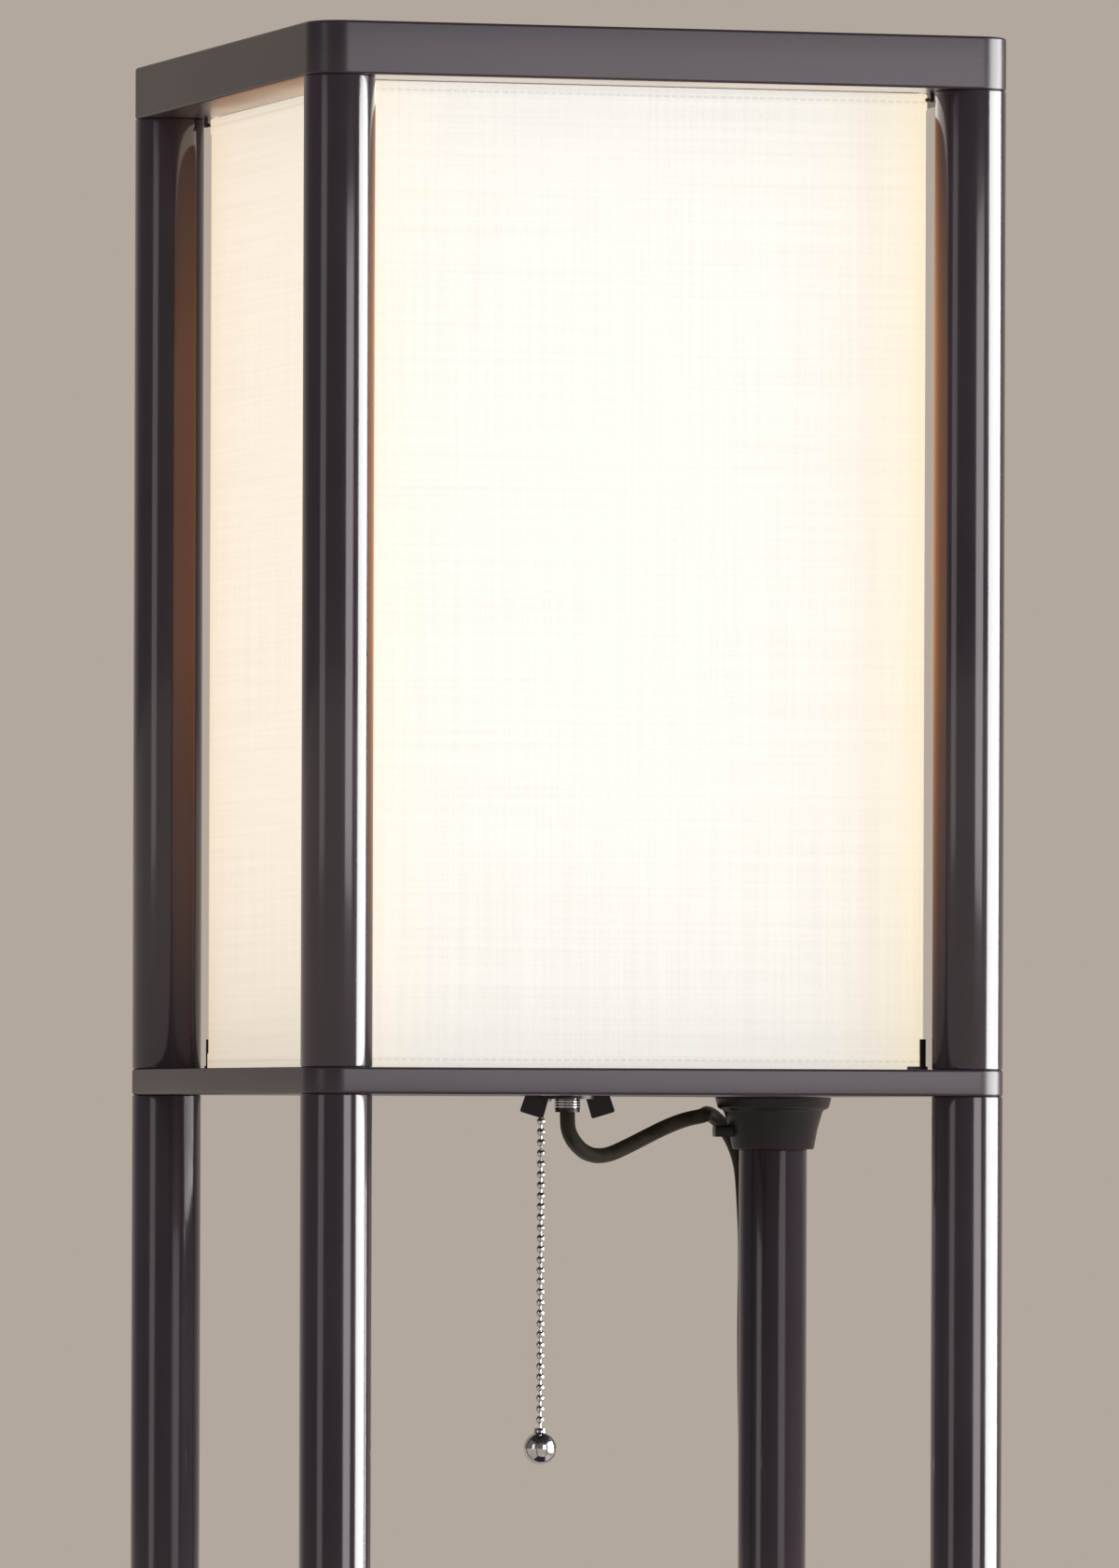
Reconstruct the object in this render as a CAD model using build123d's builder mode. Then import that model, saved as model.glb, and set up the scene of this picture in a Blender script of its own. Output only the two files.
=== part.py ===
"""Shelf floor lamp: a square four-post shelf tower with a lit box shade under its top frame.

Millimetres, +Z up. The origin is on the floor, under the middle of the tower.
The front of the lamp faces -Y. Posts are named by corner, as seen from the front.
"""

import os
from math import atan2, cos, dist, pi, radians, sin, sqrt, tan

from build123d import *

os.makedirs("parts", exist_ok=True)

# ---------------------------------------------------------------- driving sizes: tower
tower_side = 260.0
post_diameter = 25.4
post_wall = 1.2
post_end_chamfer = 0.4
lamp_post_length = 350.5
shelf_post_length = 387.5
foot_post_length = 24.0
board_thickness = 9.5
top_frame_height = 19.0
top_frame_cover = 2.75
top_frame_opening_radius = 4.0
edge_rounding = 1.0

stud_diameter = 8.0
stud_clearance = 0.2
stud_engagement = 10.0
stud_end_chamfer = 0.6
insert_length = 12.0
insert_press = 0.05
bushing_diameter = 12.0
bushing_length = 12.0
bushing_floor_gap = 1.0

glide_diameter = 24.0
glide_height = 6.0
glide_rounding = 1.5
glide_stem_length = 10.0

# ---------------------------------------------------------------- driving sizes: shade
shade_setback = 24.75
shade_corner_radius = 3.0
shade_wall = 0.8
shade_top_gap = 0.3
shade_wire = 3.0
shade_wire_fit = 0.15
shade_upright_wire = 2.4

clip_height = 11.0
clip_width = 2.1
clip_foot_length = 6.8
clip_foot_height = 1.2
clip_flange = 3.0
clip_thickness = 0.8
clip_face_gap = 0.1

hook_wire = 1.6
hook_foot_wire = 1.4
hook_drop = 2.5
hook_reach = 1.05

# ---------------------------------------------------------------- driving sizes: fitting and socket
fitting_x = 2.5
nipple_diameter = 9.7
nipple_bore = 6.4
nipple_below = 4.8
nipple_above = 14.0
thread_clearance = 0.1
bushing_lip = 1.2
bushing_lip_diameter = 9.0
bushing_bore = 5.9

wing_hub_diameter = 20.0
wing_hub_thickness = 1.2
wing_thickness = 3.0
wing_inner_top = 6.5
wing_outer_top = 15.4
wing_outer_bottom = 17.4
wing_outer_drop = 5.8
wing_inner_bottom = 8.9
wing_inner_drop = 8.4
wing_rounding = 0.8
wing_turn = -16.4

washer_diameter = 24.0
washer_thickness = 1.2
lock_nut_across_flats = 14.0
lock_nut_height = 4.0

socket_diameter = 37.0
socket_wall = 0.6
socket_cap_height = 16.0
socket_cap_base_diameter = 22.0
socket_shell_height = 39.0
core_diameter = 35.0
core_above_cap_base = 10.0
core_height = 21.0
terminal_spacing = 22.0
terminal_head_diameter = 6.0
terminal_head_height = 2.0
terminal_shank_diameter = 3.4
terminal_shank_length = 8.0
contact_diameter = 9.0
contact_height = 1.5
screw_shell_inner_diameter = 26.9
screw_shell_wall = 0.5
screw_shell_height = 22.0

# ---------------------------------------------------------------- driving sizes: bulb
bulb_tip_diameter = 8.0
bulb_tip_height = 2.0
bulb_insulator_height = 2.5
bulb_thread_core_diameter = 24.6
bulb_thread_ridge = 0.7
bulb_thread_length = 20.0
bulb_thread_turns = 5
bulb_neck_radius = 13.2
bulb_neck_length = 10.0
bulb_globe_radius = 30.0
bulb_shoulder_rise = 40.0
bulb_glass_wall = 0.8

# ---------------------------------------------------------------- driving sizes: pull switch and chain
chain_reach = 34.0
switch_width = 14.0
switch_end_wall = 3.2
switch_base_above_panel = 24.0
spring_closed_height = 5.7
switch_floor = 3.0
switch_roof = 2.0
switch_fillet = 1.5
switch_shell_gap = 0.1
rod_head_diameter = 8.2
rod_head_height = 3.0
rod_head_gap = 0.3
rod_diameter = 4.2
rod_clearance = 0.1
rod_below_switch = 2.0
spring_wire = 0.7
spring_turns = 6
spring_radius = 3.1
spring_end_gap = 0.1
pull_travel = 8.0

bead_diameter = 3.2
bead_pitch = 3.9
link_diameter = 0.9
link_gap = 0.3
guide_bore = 4.6
guide_diameter = 7.6
guide_clearance = 0.1
guide_flange_diameter = 12.0
guide_flange_thickness = 1.5
guide_lip_diameter = 10.0
guide_lip_thickness = 1.0
guide_below_panel = 2.0
pivot_below_guide = 1.5
hanging_bead_count = 29
upper_bead_count = 8
ball_diameter = 12.0
ball_neck_diameter = 4.4
ball_neck_height = 1.5
ball_bore_depth = 3.0
ball_link_length = 1.4

# ---------------------------------------------------------------- driving sizes: cord
cord_diameter = 5.6
collar_clearance = 0.1
collar_flange_radius = 21.8
collar_flange_thickness = 3.9
collar_shoulder_radius = 18.6
collar_waist_radius = 16.6
collar_waist_drop = 11.8
collar_end_radius = 15.2
collar_height = 19.4
collar_nub_reach = 22.4
collar_nub_root = 1.0
collar_nub_top = 10.6
collar_nub_thickness = 4.2
collar_nub_width = 9.0
collar_nub_turn = 171.0

coil_centre = (62.0, 214.0)
coil_outer_radius = 42.0
coil_turns = 3
coil_pitch = 6.2
coil_first_layer_z = 3.0
coil_layer_rise = 6.1

relief_length = 22.0
relief_small_diameter = 6.8
relief_large_diameter = 10.4
plug_width = 24.0
plug_thickness = 17.8
plug_length = 28.0
plug_rounding = 4.0
blade_spacing = 12.7
blade_width = 6.4
blade_thickness = 1.5
blade_length = 16.0

# ---------------------------------------------------------------- places worked out from those sizes
post_radius = post_diameter / 2
post_inner_radius = post_radius - post_wall
post_offset = (tower_side - post_diameter) / 2
shade_side = tower_side - 2 * shade_setback
top_frame_opening = shade_side - 2 * top_frame_cover
lower_shelf_z = glide_height + foot_post_length
middle_shelf_z = lower_shelf_z + board_thickness + shelf_post_length
upper_shelf_z = middle_shelf_z + board_thickness + shelf_post_length
light_panel_z = upper_shelf_z + board_thickness + shelf_post_length
panel_top_z = light_panel_z + board_thickness
top_frame_z = panel_top_z + lamp_post_length
lamp_height = top_frame_z + top_frame_height

corners = {
    "front_left": (-post_offset, -post_offset),
    "front_right": (post_offset, -post_offset),
    "rear_right": (post_offset, post_offset),
    "rear_left": (-post_offset, post_offset),
}
post_centres = list(corners.values())

stud_hole_radius = (stud_diameter + stud_clearance) / 2
cap_base_z = panel_top_z + washer_thickness + lock_nut_height
cap_top_z = cap_base_z + socket_cap_height
core_z = cap_base_z + core_above_cap_base
core_top_z = core_z + core_height
bulb_seat_z = core_top_z + contact_height
chain_x = fitting_x
chain_y = chain_reach
switch_z = panel_top_z + switch_base_above_panel
switch_cavity_height = spring_closed_height + pull_travel + rod_head_height + rod_head_gap
switch_height = switch_floor + switch_cavity_height + switch_roof
switch_cavity_z = switch_z + switch_floor
switch_cavity_top = switch_z + switch_height - switch_roof
rod_head_z = switch_cavity_top - rod_head_gap - rod_head_height
rod_bottom_z = switch_z - rod_below_switch
first_pivot_z = light_panel_z - guide_below_panel - pivot_below_guide
second_pivot_z = first_pivot_z - bead_pitch
cord_exit_z = light_panel_z - nipple_below - bushing_lip


def write(built, node):
    """Label a finished piece and write it under its node's name."""
    built.part.label = node
    export_step(built.part, f"parts/{node}.step")
    return built.part


def square_to(path):
    """The plane square to a drawn path, at its start."""
    return Plane(origin=path.line @ 0, z_dir=path.line % 0)


# ================================================================ posts and what joins them
def post(centre, underside, length):
    """One hollow post, its ends lightly chamfered, standing on a board's face."""
    with BuildPart() as tube:
        with BuildSketch(Plane.XY.offset(underside)):
            with Locations(centre):
                Circle(post_radius)
                Circle(post_inner_radius, mode=Mode.SUBTRACT)
        extrude(amount=length)
        outer_rims = tube.edges().filter_by(GeomType.CIRCLE).sort_by(SortBy.RADIUS)[-2:]
        chamfer(outer_rims, post_end_chamfer)
    return tube


tiers = {
    "lamp_bay": (panel_top_z, lamp_post_length),
    "upper_bay": (upper_shelf_z + board_thickness, shelf_post_length),
    "middle_bay": (middle_shelf_z + board_thickness, shelf_post_length),
    "lower_bay": (lower_shelf_z + board_thickness, shelf_post_length),
}
for tier_name, (tier_z, tier_length) in tiers.items():
    for corner_name, corner in corners.items():
        write(post(corner, tier_z, tier_length), f"{tier_name}_post_{corner_name}")

with BuildPart() as foot_posts:
    with BuildSketch(Plane.XY.offset(glide_height)):
        with Locations(*post_centres):
            Circle(post_radius)
        with Locations(*post_centres):
            Circle(post_inner_radius, mode=Mode.SUBTRACT)
    extrude(amount=foot_post_length)
write(foot_posts, "foot_posts")

with BuildPart() as foot_glides:
    with BuildSketch(Plane.XY):
        with Locations(*post_centres):
            Circle(glide_diameter / 2)
    extrude(amount=glide_height)
    fillet(foot_glides.edges().group_by(Axis.Z)[0], glide_rounding)
    with BuildSketch(Plane.XY.offset(glide_height)):
        with Locations(*post_centres):
            Circle(post_inner_radius - insert_press)
    extrude(amount=glide_stem_length)
write(foot_glides, "foot_glides")

insert_bottoms = []
for tier_z, tier_length in tiers.values():
    insert_bottoms += [tier_z, tier_z + tier_length - insert_length]
insert_bottoms.append(lower_shelf_z - insert_length)
with BuildPart() as post_inserts:
    for insert_z in insert_bottoms:
        with BuildSketch(Plane.XY.offset(insert_z)):
            with Locations(*post_centres):
                Circle(post_inner_radius - insert_press)
            with Locations(*post_centres):
                Circle(stud_hole_radius, mode=Mode.SUBTRACT)
        extrude(amount=insert_length)
write(post_inserts, "post_inserts")


def studs(undersides, length):
    """Threaded studs on the four post centres, one set from each underside up."""
    with BuildPart() as pins:
        for underside in undersides:
            with BuildSketch(Plane.XY.offset(underside)):
                with Locations(*post_centres):
                    Circle(stud_diameter / 2)
            extrude(amount=length)
        chamfer(pins.edges().filter_by(GeomType.CIRCLE), stud_end_chamfer)
    return pins


board_levels = {
    "lower_shelf": lower_shelf_z,
    "middle_shelf": middle_shelf_z,
    "upper_shelf": upper_shelf_z,
    "light_panel": light_panel_z,
}
board_stud_bottoms = [level - stud_engagement for level in board_levels.values()]
write(studs(board_stud_bottoms, board_thickness + 2 * stud_engagement), "board_studs")
write(studs([top_frame_z - stud_engagement], 2 * stud_engagement), "top_frame_studs")

with BuildPart() as top_frame_bushings:
    with BuildSketch(Plane.XY.offset(top_frame_z)):
        with Locations(*post_centres):
            Circle(bushing_diameter / 2)
        with Locations(*post_centres):
            Circle(stud_hole_radius, mode=Mode.SUBTRACT)
    extrude(amount=bushing_length)
write(top_frame_bushings, "top_frame_bushings")


# ================================================================ boards and top frame
def board(underside, extra_holes):
    """A square board flush with the posts; extra_holes are (x, y, radius)."""
    with BuildPart() as slab:
        with BuildSketch(Plane.XY.offset(underside)):
            RectangleRounded(tower_side, tower_side, post_radius)
        extrude(amount=board_thickness)
        rims = slab.edges().group_by(Axis.Z)
        fillet(rims[0] + rims[-1], edge_rounding)
        with BuildSketch(Plane.XY.offset(underside)):
            with Locations(*post_centres):
                Circle(stud_hole_radius)
            for x, y, radius in extra_holes:
                with Locations((x, y)):
                    Circle(radius)
        extrude(amount=board_thickness, mode=Mode.SUBTRACT)
    return slab


panel_holes = [
    (fitting_x, 0, nipple_diameter / 2 + thread_clearance),
    (chain_x, chain_y, guide_diameter / 2 + guide_clearance),
]
for board_name, level in board_levels.items():
    write(board(level, panel_holes if board_name == "light_panel" else []), board_name)

with BuildPart() as top_frame:
    with BuildSketch(Plane.XY.offset(top_frame_z)):
        RectangleRounded(tower_side, tower_side, post_radius)
        RectangleRounded(
            top_frame_opening,
            top_frame_opening,
            top_frame_opening_radius,
            mode=Mode.SUBTRACT,
        )
    extrude(amount=top_frame_height)
    frame_rims = top_frame.edges().group_by(Axis.Z)
    fillet(frame_rims[0] + frame_rims[-1], edge_rounding)
    with BuildSketch(Plane.XY.offset(top_frame_z)):
        with Locations(*post_centres):
            Circle(bushing_diameter / 2 + thread_clearance)
    extrude(amount=bushing_length + bushing_floor_gap, mode=Mode.SUBTRACT)
write(top_frame, "top_frame")

# ================================================================ shade
shade_height = lamp_post_length - shade_top_gap
with BuildPart() as shade_skin:
    with BuildSketch(Plane.XY.offset(panel_top_z)):
        RectangleRounded(shade_side, shade_side, shade_corner_radius)
        RectangleRounded(
            shade_side - 2 * shade_wall,
            shade_side - 2 * shade_wall,
            shade_corner_radius - shade_wall,
            mode=Mode.SUBTRACT,
        )
    extrude(amount=shade_height)
write(shade_skin, "shade_skin")

wire_radius = shade_wire / 2
ring_side = shade_side - 2 * (shade_wall + shade_wire_fit) - shade_wire
ring_corner_radius = shade_wire * 1.5


def shade_ring(centre_z):
    """A square wire ring that holds the shade's skin square, at a height."""
    straight = ring_side - 2 * ring_corner_radius
    bar_start = (-straight / 2, -ring_side / 2, centre_z)
    bend_start = (straight / 2, -ring_side / 2, centre_z)
    with BuildPart() as one_side:
        with BuildSketch(Plane(origin=bar_start, z_dir=(1, 0, 0))):
            Circle(wire_radius)
        extrude(amount=straight)
        with BuildSketch(Plane(origin=bend_start, z_dir=(1, 0, 0))):
            Circle(wire_radius)
        revolve(axis=Axis((straight / 2, -straight / 2, 0), (0, 0, 1)), revolution_arc=90)
    with BuildPart() as ring:
        with PolarLocations(0, 4):
            add(one_side.part)
    return ring


lower_ring_z = panel_top_z + wire_radius + shade_wire_fit
upper_ring_z = panel_top_z + shade_height - wire_radius - shade_wire_fit
write(shade_ring(lower_ring_z), "shade_lower_ring")
write(shade_ring(upper_ring_z), "shade_upper_ring")

upright_offset = ring_side / 2 - ring_corner_radius * (1 - cos(radians(45)))
upright_z = lower_ring_z + wire_radius + shade_wire_fit
upright_length = upper_ring_z - wire_radius - shade_wire_fit - upright_z
with BuildPart() as shade_uprights:
    with BuildSketch(Plane.XY.offset(upright_z)):
        with PolarLocations(upright_offset * sqrt(2), 4, start_angle=45):
            Circle(shade_upright_wire / 2)
    extrude(amount=upright_length)
write(shade_uprights, "shade_uprights")

clip_face_y = -shade_side / 2 - clip_face_gap
clip_right_x = shade_side / 2
with BuildPart() as one_clip:
    with BuildSketch(Plane.XZ.offset(-clip_face_y)):
        with BuildLine():
            Polyline(
                (clip_right_x, panel_top_z),
                (clip_right_x, panel_top_z + clip_height),
                (clip_right_x - clip_width, panel_top_z + clip_height),
                (clip_right_x - clip_width, panel_top_z + clip_foot_height),
                (clip_right_x - clip_foot_length, panel_top_z + clip_foot_height),
                (clip_right_x - clip_foot_length, panel_top_z),
                close=True,
            )
        make_face()
    extrude(amount=clip_thickness)
    with BuildSketch(Plane.XY.offset(panel_top_z)):
        with Locations((clip_right_x - clip_foot_length / 2, clip_face_y - clip_flange / 2)):
            Rectangle(clip_foot_length, clip_flange)
    extrude(amount=clip_foot_height)
with BuildPart() as shade_clips:
    with PolarLocations(0, 4):
        add(one_clip.part)
write(shade_clips, "shade_clips")

hook_stand = (shade_side / 2 + hook_reach) * sqrt(2)
shade_corner_reach = shade_side / sqrt(2) - shade_corner_radius * (sqrt(2) - 1)
hook_foot_start = shade_corner_reach + shade_wire_fit
with BuildPart() as one_hook:
    with BuildSketch(Plane.XY.offset(top_frame_z - hook_drop - hook_wire / 2)):
        with Locations((hook_stand, 0)):
            Circle(hook_wire / 2)
    extrude(amount=hook_drop + hook_wire / 2)
    with BuildSketch(Plane(origin=(hook_foot_start, 0, top_frame_z - hook_drop), z_dir=(1, 0, 0))):
        Circle(hook_foot_wire / 2)
    extrude(amount=hook_stand - hook_foot_start)
with BuildPart() as shade_hooks:
    with PolarLocations(0, 4, start_angle=45):
        add(one_hook.part)
write(shade_hooks, "shade_hooks")

# ================================================================ fitting through the light panel
fitting_plane = Plane((fitting_x, 0, 0))


def ring_at(plane, outer_radius, inner_radius, height):
    """A plain ring standing on a plane; inner_radius 0 makes a disc."""
    with BuildPart() as ring:
        with BuildSketch(plane):
            Circle(outer_radius)
            if inner_radius:
                Circle(inner_radius, mode=Mode.SUBTRACT)
        extrude(amount=height)
    return ring


nipple_hole_radius = nipple_diameter / 2 + thread_clearance
lamp_nipple = ring_at(
    fitting_plane.offset(light_panel_z - nipple_below),
    nipple_diameter / 2,
    nipple_bore / 2,
    nipple_below + board_thickness + nipple_above,
)
write(lamp_nipple, "lamp_nipple")
nipple_bushing = ring_at(
    fitting_plane.offset(cord_exit_z), bushing_lip_diameter / 2, bushing_bore / 2, bushing_lip
)
write(nipple_bushing, "nipple_bushing")
panel_washer = ring_at(
    fitting_plane.offset(panel_top_z), washer_diameter / 2, nipple_hole_radius, washer_thickness
)
write(panel_washer, "panel_washer")

with BuildPart() as lock_nut:
    with BuildSketch(fitting_plane.offset(panel_top_z + washer_thickness)):
        RegularPolygon(lock_nut_across_flats / 2, 6, major_radius=False)
        Circle(nipple_hole_radius, mode=Mode.SUBTRACT)
    extrude(amount=lock_nut_height)
write(lock_nut, "lock_nut")

with BuildPart() as wing_nut:
    with BuildSketch(fitting_plane.offset(light_panel_z - wing_hub_thickness)):
        Circle(wing_hub_diameter / 2)
    extrude(amount=wing_hub_thickness)
    wing_plane = Plane(
        origin=(fitting_x, 0, light_panel_z),
        x_dir=(cos(radians(wing_turn)), sin(radians(wing_turn)), 0),
        z_dir=(sin(radians(wing_turn)), -cos(radians(wing_turn)), 0),
    )
    for side in (1, -1):
        with BuildSketch(wing_plane) as wing:
            with BuildLine():
                Polyline(
                    (side * wing_inner_top, 0),
                    (side * wing_outer_top, 0),
                    (side * wing_outer_bottom, -wing_outer_drop),
                    (side * wing_inner_bottom, -wing_inner_drop),
                    close=True,
                )
            make_face()
            fillet(wing.vertices().sort_by(Axis.Y)[:2], wing_rounding)
        extrude(amount=wing_thickness / 2, both=True)
    with BuildSketch(fitting_plane.offset(light_panel_z)):
        Circle(nipple_hole_radius)
    extrude(amount=-wing_hub_thickness, mode=Mode.SUBTRACT)
write(wing_nut, "wing_nut")

# ================================================================ socket
cap_plane = Plane(origin=(fitting_x, 0, cap_base_z), x_dir=(1, 0, 0), z_dir=(0, -1, 0))
with BuildPart() as socket_cap:
    with BuildSketch(cap_plane):
        with BuildLine():
            Polyline(
                (nipple_hole_radius, 0),
                (socket_cap_base_diameter / 2, 0),
                (socket_diameter / 2, socket_cap_height / 2),
                (socket_diameter / 2, socket_cap_height),
                (socket_diameter / 2 - socket_wall, socket_cap_height),
                (socket_diameter / 2 - socket_wall, socket_cap_height / 2 + socket_wall / 2),
                (socket_cap_base_diameter / 2 - socket_wall / 2, socket_wall),
                (nipple_hole_radius, socket_wall),
                close=True,
            )
        make_face()
    revolve(axis=Axis((fitting_x, 0, 0), (0, 0, 1)))
write(socket_cap, "socket_cap")

socket_shell = ring_at(
    fitting_plane.offset(cap_top_z),
    socket_diameter / 2,
    socket_diameter / 2 - socket_wall,
    socket_shell_height,
)
write(socket_shell, "socket_shell")

terminal_centres = [(-terminal_spacing / 2, 0), (terminal_spacing / 2, 0)]
with BuildPart() as socket_core:
    with BuildSketch(fitting_plane.offset(core_z)):
        Circle(core_diameter / 2)
    extrude(amount=core_height)
    with BuildSketch(fitting_plane.offset(core_z)):
        with Locations(*terminal_centres):
            Circle(terminal_shank_diameter / 2 + thread_clearance)
    extrude(amount=terminal_shank_length, mode=Mode.SUBTRACT)
write(socket_core, "socket_core")

with BuildPart() as terminal_screws:
    with BuildSketch(fitting_plane.offset(core_z - terminal_head_height)):
        with Locations(*terminal_centres):
            Circle(terminal_head_diameter / 2)
    extrude(amount=terminal_head_height)
    with BuildSketch(fitting_plane.offset(core_z)):
        with Locations(*terminal_centres):
            Circle(terminal_shank_diameter / 2)
    extrude(amount=terminal_shank_length)
write(terminal_screws, "terminal_screws")

centre_contact = ring_at(
    fitting_plane.offset(core_top_z), contact_diameter / 2, 0, contact_height
)
write(centre_contact, "centre_contact")
screw_shell = ring_at(
    fitting_plane.offset(core_top_z),
    screw_shell_inner_diameter / 2 + screw_shell_wall,
    screw_shell_inner_diameter / 2,
    screw_shell_height,
)
write(screw_shell, "screw_shell")

# ================================================================ bulb
bulb_thread_z = bulb_seat_z + bulb_tip_height + bulb_insulator_height
bulb_glass_z = bulb_thread_z + bulb_thread_length
thread_pitch = bulb_thread_length / bulb_thread_turns
with BuildPart() as bulb_base:
    with BuildSketch(fitting_plane.offset(bulb_seat_z)):
        Circle(bulb_tip_diameter / 2)
    extrude(amount=bulb_tip_height)
    with BuildSketch(fitting_plane.offset(bulb_seat_z + bulb_tip_height)):
        Circle(bulb_tip_diameter / 2)
    with BuildSketch(fitting_plane.offset(bulb_thread_z)):
        Circle(bulb_thread_core_diameter / 2)
    loft()
    with BuildSketch(fitting_plane.offset(bulb_thread_z)):
        Circle(bulb_thread_core_diameter / 2)
    extrude(amount=bulb_thread_length)
    ridge_heights = [bulb_thread_z + (turn + 0.5) * thread_pitch for turn in range(bulb_thread_turns)]
    with Locations(*[(fitting_x, 0, height) for height in ridge_heights]):
        Torus(bulb_thread_core_diameter / 2, bulb_thread_ridge)
write(bulb_base, "bulb_base")

# The shoulder arc is tangent to the neck's line and to the round globe.
shoulder_radius = (
    bulb_neck_radius**2 + bulb_shoulder_rise**2 - bulb_globe_radius**2
) / (2 * (bulb_globe_radius - bulb_neck_radius))


def bulb_profile(inset):
    """The bulb's half outline, drawn in by an even wall thickness."""
    neck = bulb_neck_radius - inset
    globe = bulb_globe_radius - inset
    shoulder = shoulder_radius + inset
    shoulder_x = bulb_neck_radius + shoulder_radius
    neck_z = bulb_glass_z + bulb_neck_length
    globe_z = neck_z + bulb_shoulder_rise
    share = globe / (bulb_globe_radius + shoulder_radius)
    meet = (shoulder_x * share, globe_z - bulb_shoulder_rise * share)
    sweep_angle = atan2(bulb_shoulder_rise, shoulder_x) / 2
    middle = (shoulder_x - shoulder * cos(sweep_angle), neck_z + shoulder * sin(sweep_angle))
    base_z = bulb_glass_z + inset
    Line((0, base_z), (neck, base_z))
    Line((neck, base_z), (neck, neck_z))
    ThreePointArc((neck, neck_z), middle, meet)
    ThreePointArc(meet, (globe, globe_z), (0, globe_z + globe))
    Line((0, globe_z + globe), (0, base_z))


bulb_plane = Plane(origin=(fitting_x, 0, 0), x_dir=(1, 0, 0), z_dir=(0, -1, 0))
with BuildPart() as bulb_glass:
    with BuildSketch(bulb_plane):
        with BuildLine():
            bulb_profile(0)
        make_face()
        with BuildLine():
            bulb_profile(bulb_glass_wall)
        make_face(mode=Mode.SUBTRACT)
    revolve(axis=Axis((fitting_x, 0, 0), (0, 0, 1)))
write(bulb_glass, "bulb_glass")

# ================================================================ pull switch
chain_plane = Plane((chain_x, chain_y, 0))
switch_outer_y = chain_y + rod_head_diameter / 2 + rod_clearance + switch_end_wall
cavity_radius = rod_head_diameter / 2 + rod_clearance
with BuildPart() as switch_housing:
    with BuildSketch(Plane.XY.offset(switch_z)):
        with Locations((chain_x, switch_outer_y / 2)):
            Rectangle(switch_width, switch_outer_y)
    extrude(amount=switch_height)
    fillet(switch_housing.edges().group_by(Axis.Y)[-1], switch_fillet)
    with BuildSketch(fitting_plane.offset(switch_z)):
        Circle(socket_diameter / 2 + switch_shell_gap)
    extrude(amount=switch_height, mode=Mode.SUBTRACT)
    with BuildSketch(chain_plane.offset(switch_z)):
        Circle(rod_diameter / 2 + rod_clearance)
    extrude(amount=switch_floor, mode=Mode.SUBTRACT)
    with BuildSketch(chain_plane.offset(switch_cavity_z)):
        Circle(cavity_radius)
    extrude(amount=switch_cavity_top - switch_cavity_z, mode=Mode.SUBTRACT)
write(switch_housing, "switch_housing")

with BuildPart() as pull_rod:
    with BuildSketch(chain_plane.offset(rod_head_z)):
        Circle(rod_head_diameter / 2)
    extrude(amount=rod_head_height)
    with BuildSketch(chain_plane.offset(rod_bottom_z)):
        Circle(rod_diameter / 2)
    extrude(amount=rod_head_z - rod_bottom_z)
write(pull_rod, "pull_rod")

spring_z = switch_cavity_z + spring_end_gap + spring_wire / 2
spring_rise = rod_head_z - spring_end_gap - spring_wire / 2 - spring_z
with BuildPart() as return_spring:
    with BuildLine(Plane.XY) as spring_path:
        Helix(spring_rise / spring_turns, spring_rise, spring_radius, center=(chain_x, chain_y, spring_z))
    with BuildSketch(square_to(spring_path)):
        Circle(spring_wire / 2)
    sweep(path=spring_path)
write(return_spring, "return_spring")

# ================================================================ chain
with BuildPart() as chain_guide:
    with BuildSketch(chain_plane.offset(light_panel_z - guide_below_panel)):
        Circle(guide_diameter / 2)
    extrude(amount=guide_below_panel + board_thickness)
    with BuildSketch(chain_plane.offset(panel_top_z)):
        Circle(guide_flange_diameter / 2)
    extrude(amount=guide_flange_thickness)
    with BuildSketch(chain_plane.offset(light_panel_z - guide_lip_thickness)):
        Circle(guide_lip_diameter / 2)
    extrude(amount=guide_lip_thickness)
    with BuildSketch(chain_plane.offset(light_panel_z - guide_below_panel)):
        Circle(guide_bore / 2)
    extrude(amount=guide_below_panel + board_thickness + guide_flange_thickness, mode=Mode.SUBTRACT)
write(chain_guide, "chain_guide")


def bead_string(top_bead_z, count, link_top_z, link_bottom_z):
    """A run of ball chain down one line: round beads joined by a thin link."""
    with BuildPart() as beads:
        with BuildSketch(chain_plane.offset(link_bottom_z)):
            Circle(link_diameter / 2)
        extrude(amount=link_top_z - link_bottom_z)
        bead_centres = [(chain_x, chain_y, top_bead_z - step * bead_pitch) for step in range(count)]
        with Locations(*bead_centres):
            Sphere(bead_diameter / 2)
    return beads


bead_stub = bead_pitch - bead_diameter - link_gap
upper_last_bead_z = first_pivot_z + bead_pitch / 2
upper_top_bead_z = upper_last_bead_z + (upper_bead_count - 1) * bead_pitch
upper_stub_z = upper_last_bead_z - bead_diameter / 2 - bead_stub
write(bead_string(upper_top_bead_z, upper_bead_count, rod_bottom_z, upper_stub_z), "chain_upper_run")

swivel_bead_z = first_pivot_z - bead_pitch / 2
swivel_stub_z = swivel_bead_z - bead_diameter / 2 - bead_stub
write(bead_string(swivel_bead_z, 1, swivel_bead_z, swivel_stub_z), "chain_swivel_bead")

hanging_top_bead_z = second_pivot_z - bead_pitch / 2
hanging_last_bead_z = hanging_top_bead_z - (hanging_bead_count - 1) * bead_pitch
ball_neck_top_z = hanging_last_bead_z - bead_diameter / 2 - ball_link_length
hanging_link_z = ball_neck_top_z - ball_bore_depth + link_gap
write(
    bead_string(hanging_top_bead_z, hanging_bead_count, hanging_top_bead_z, hanging_link_z),
    "pull_chain",
)

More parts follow.
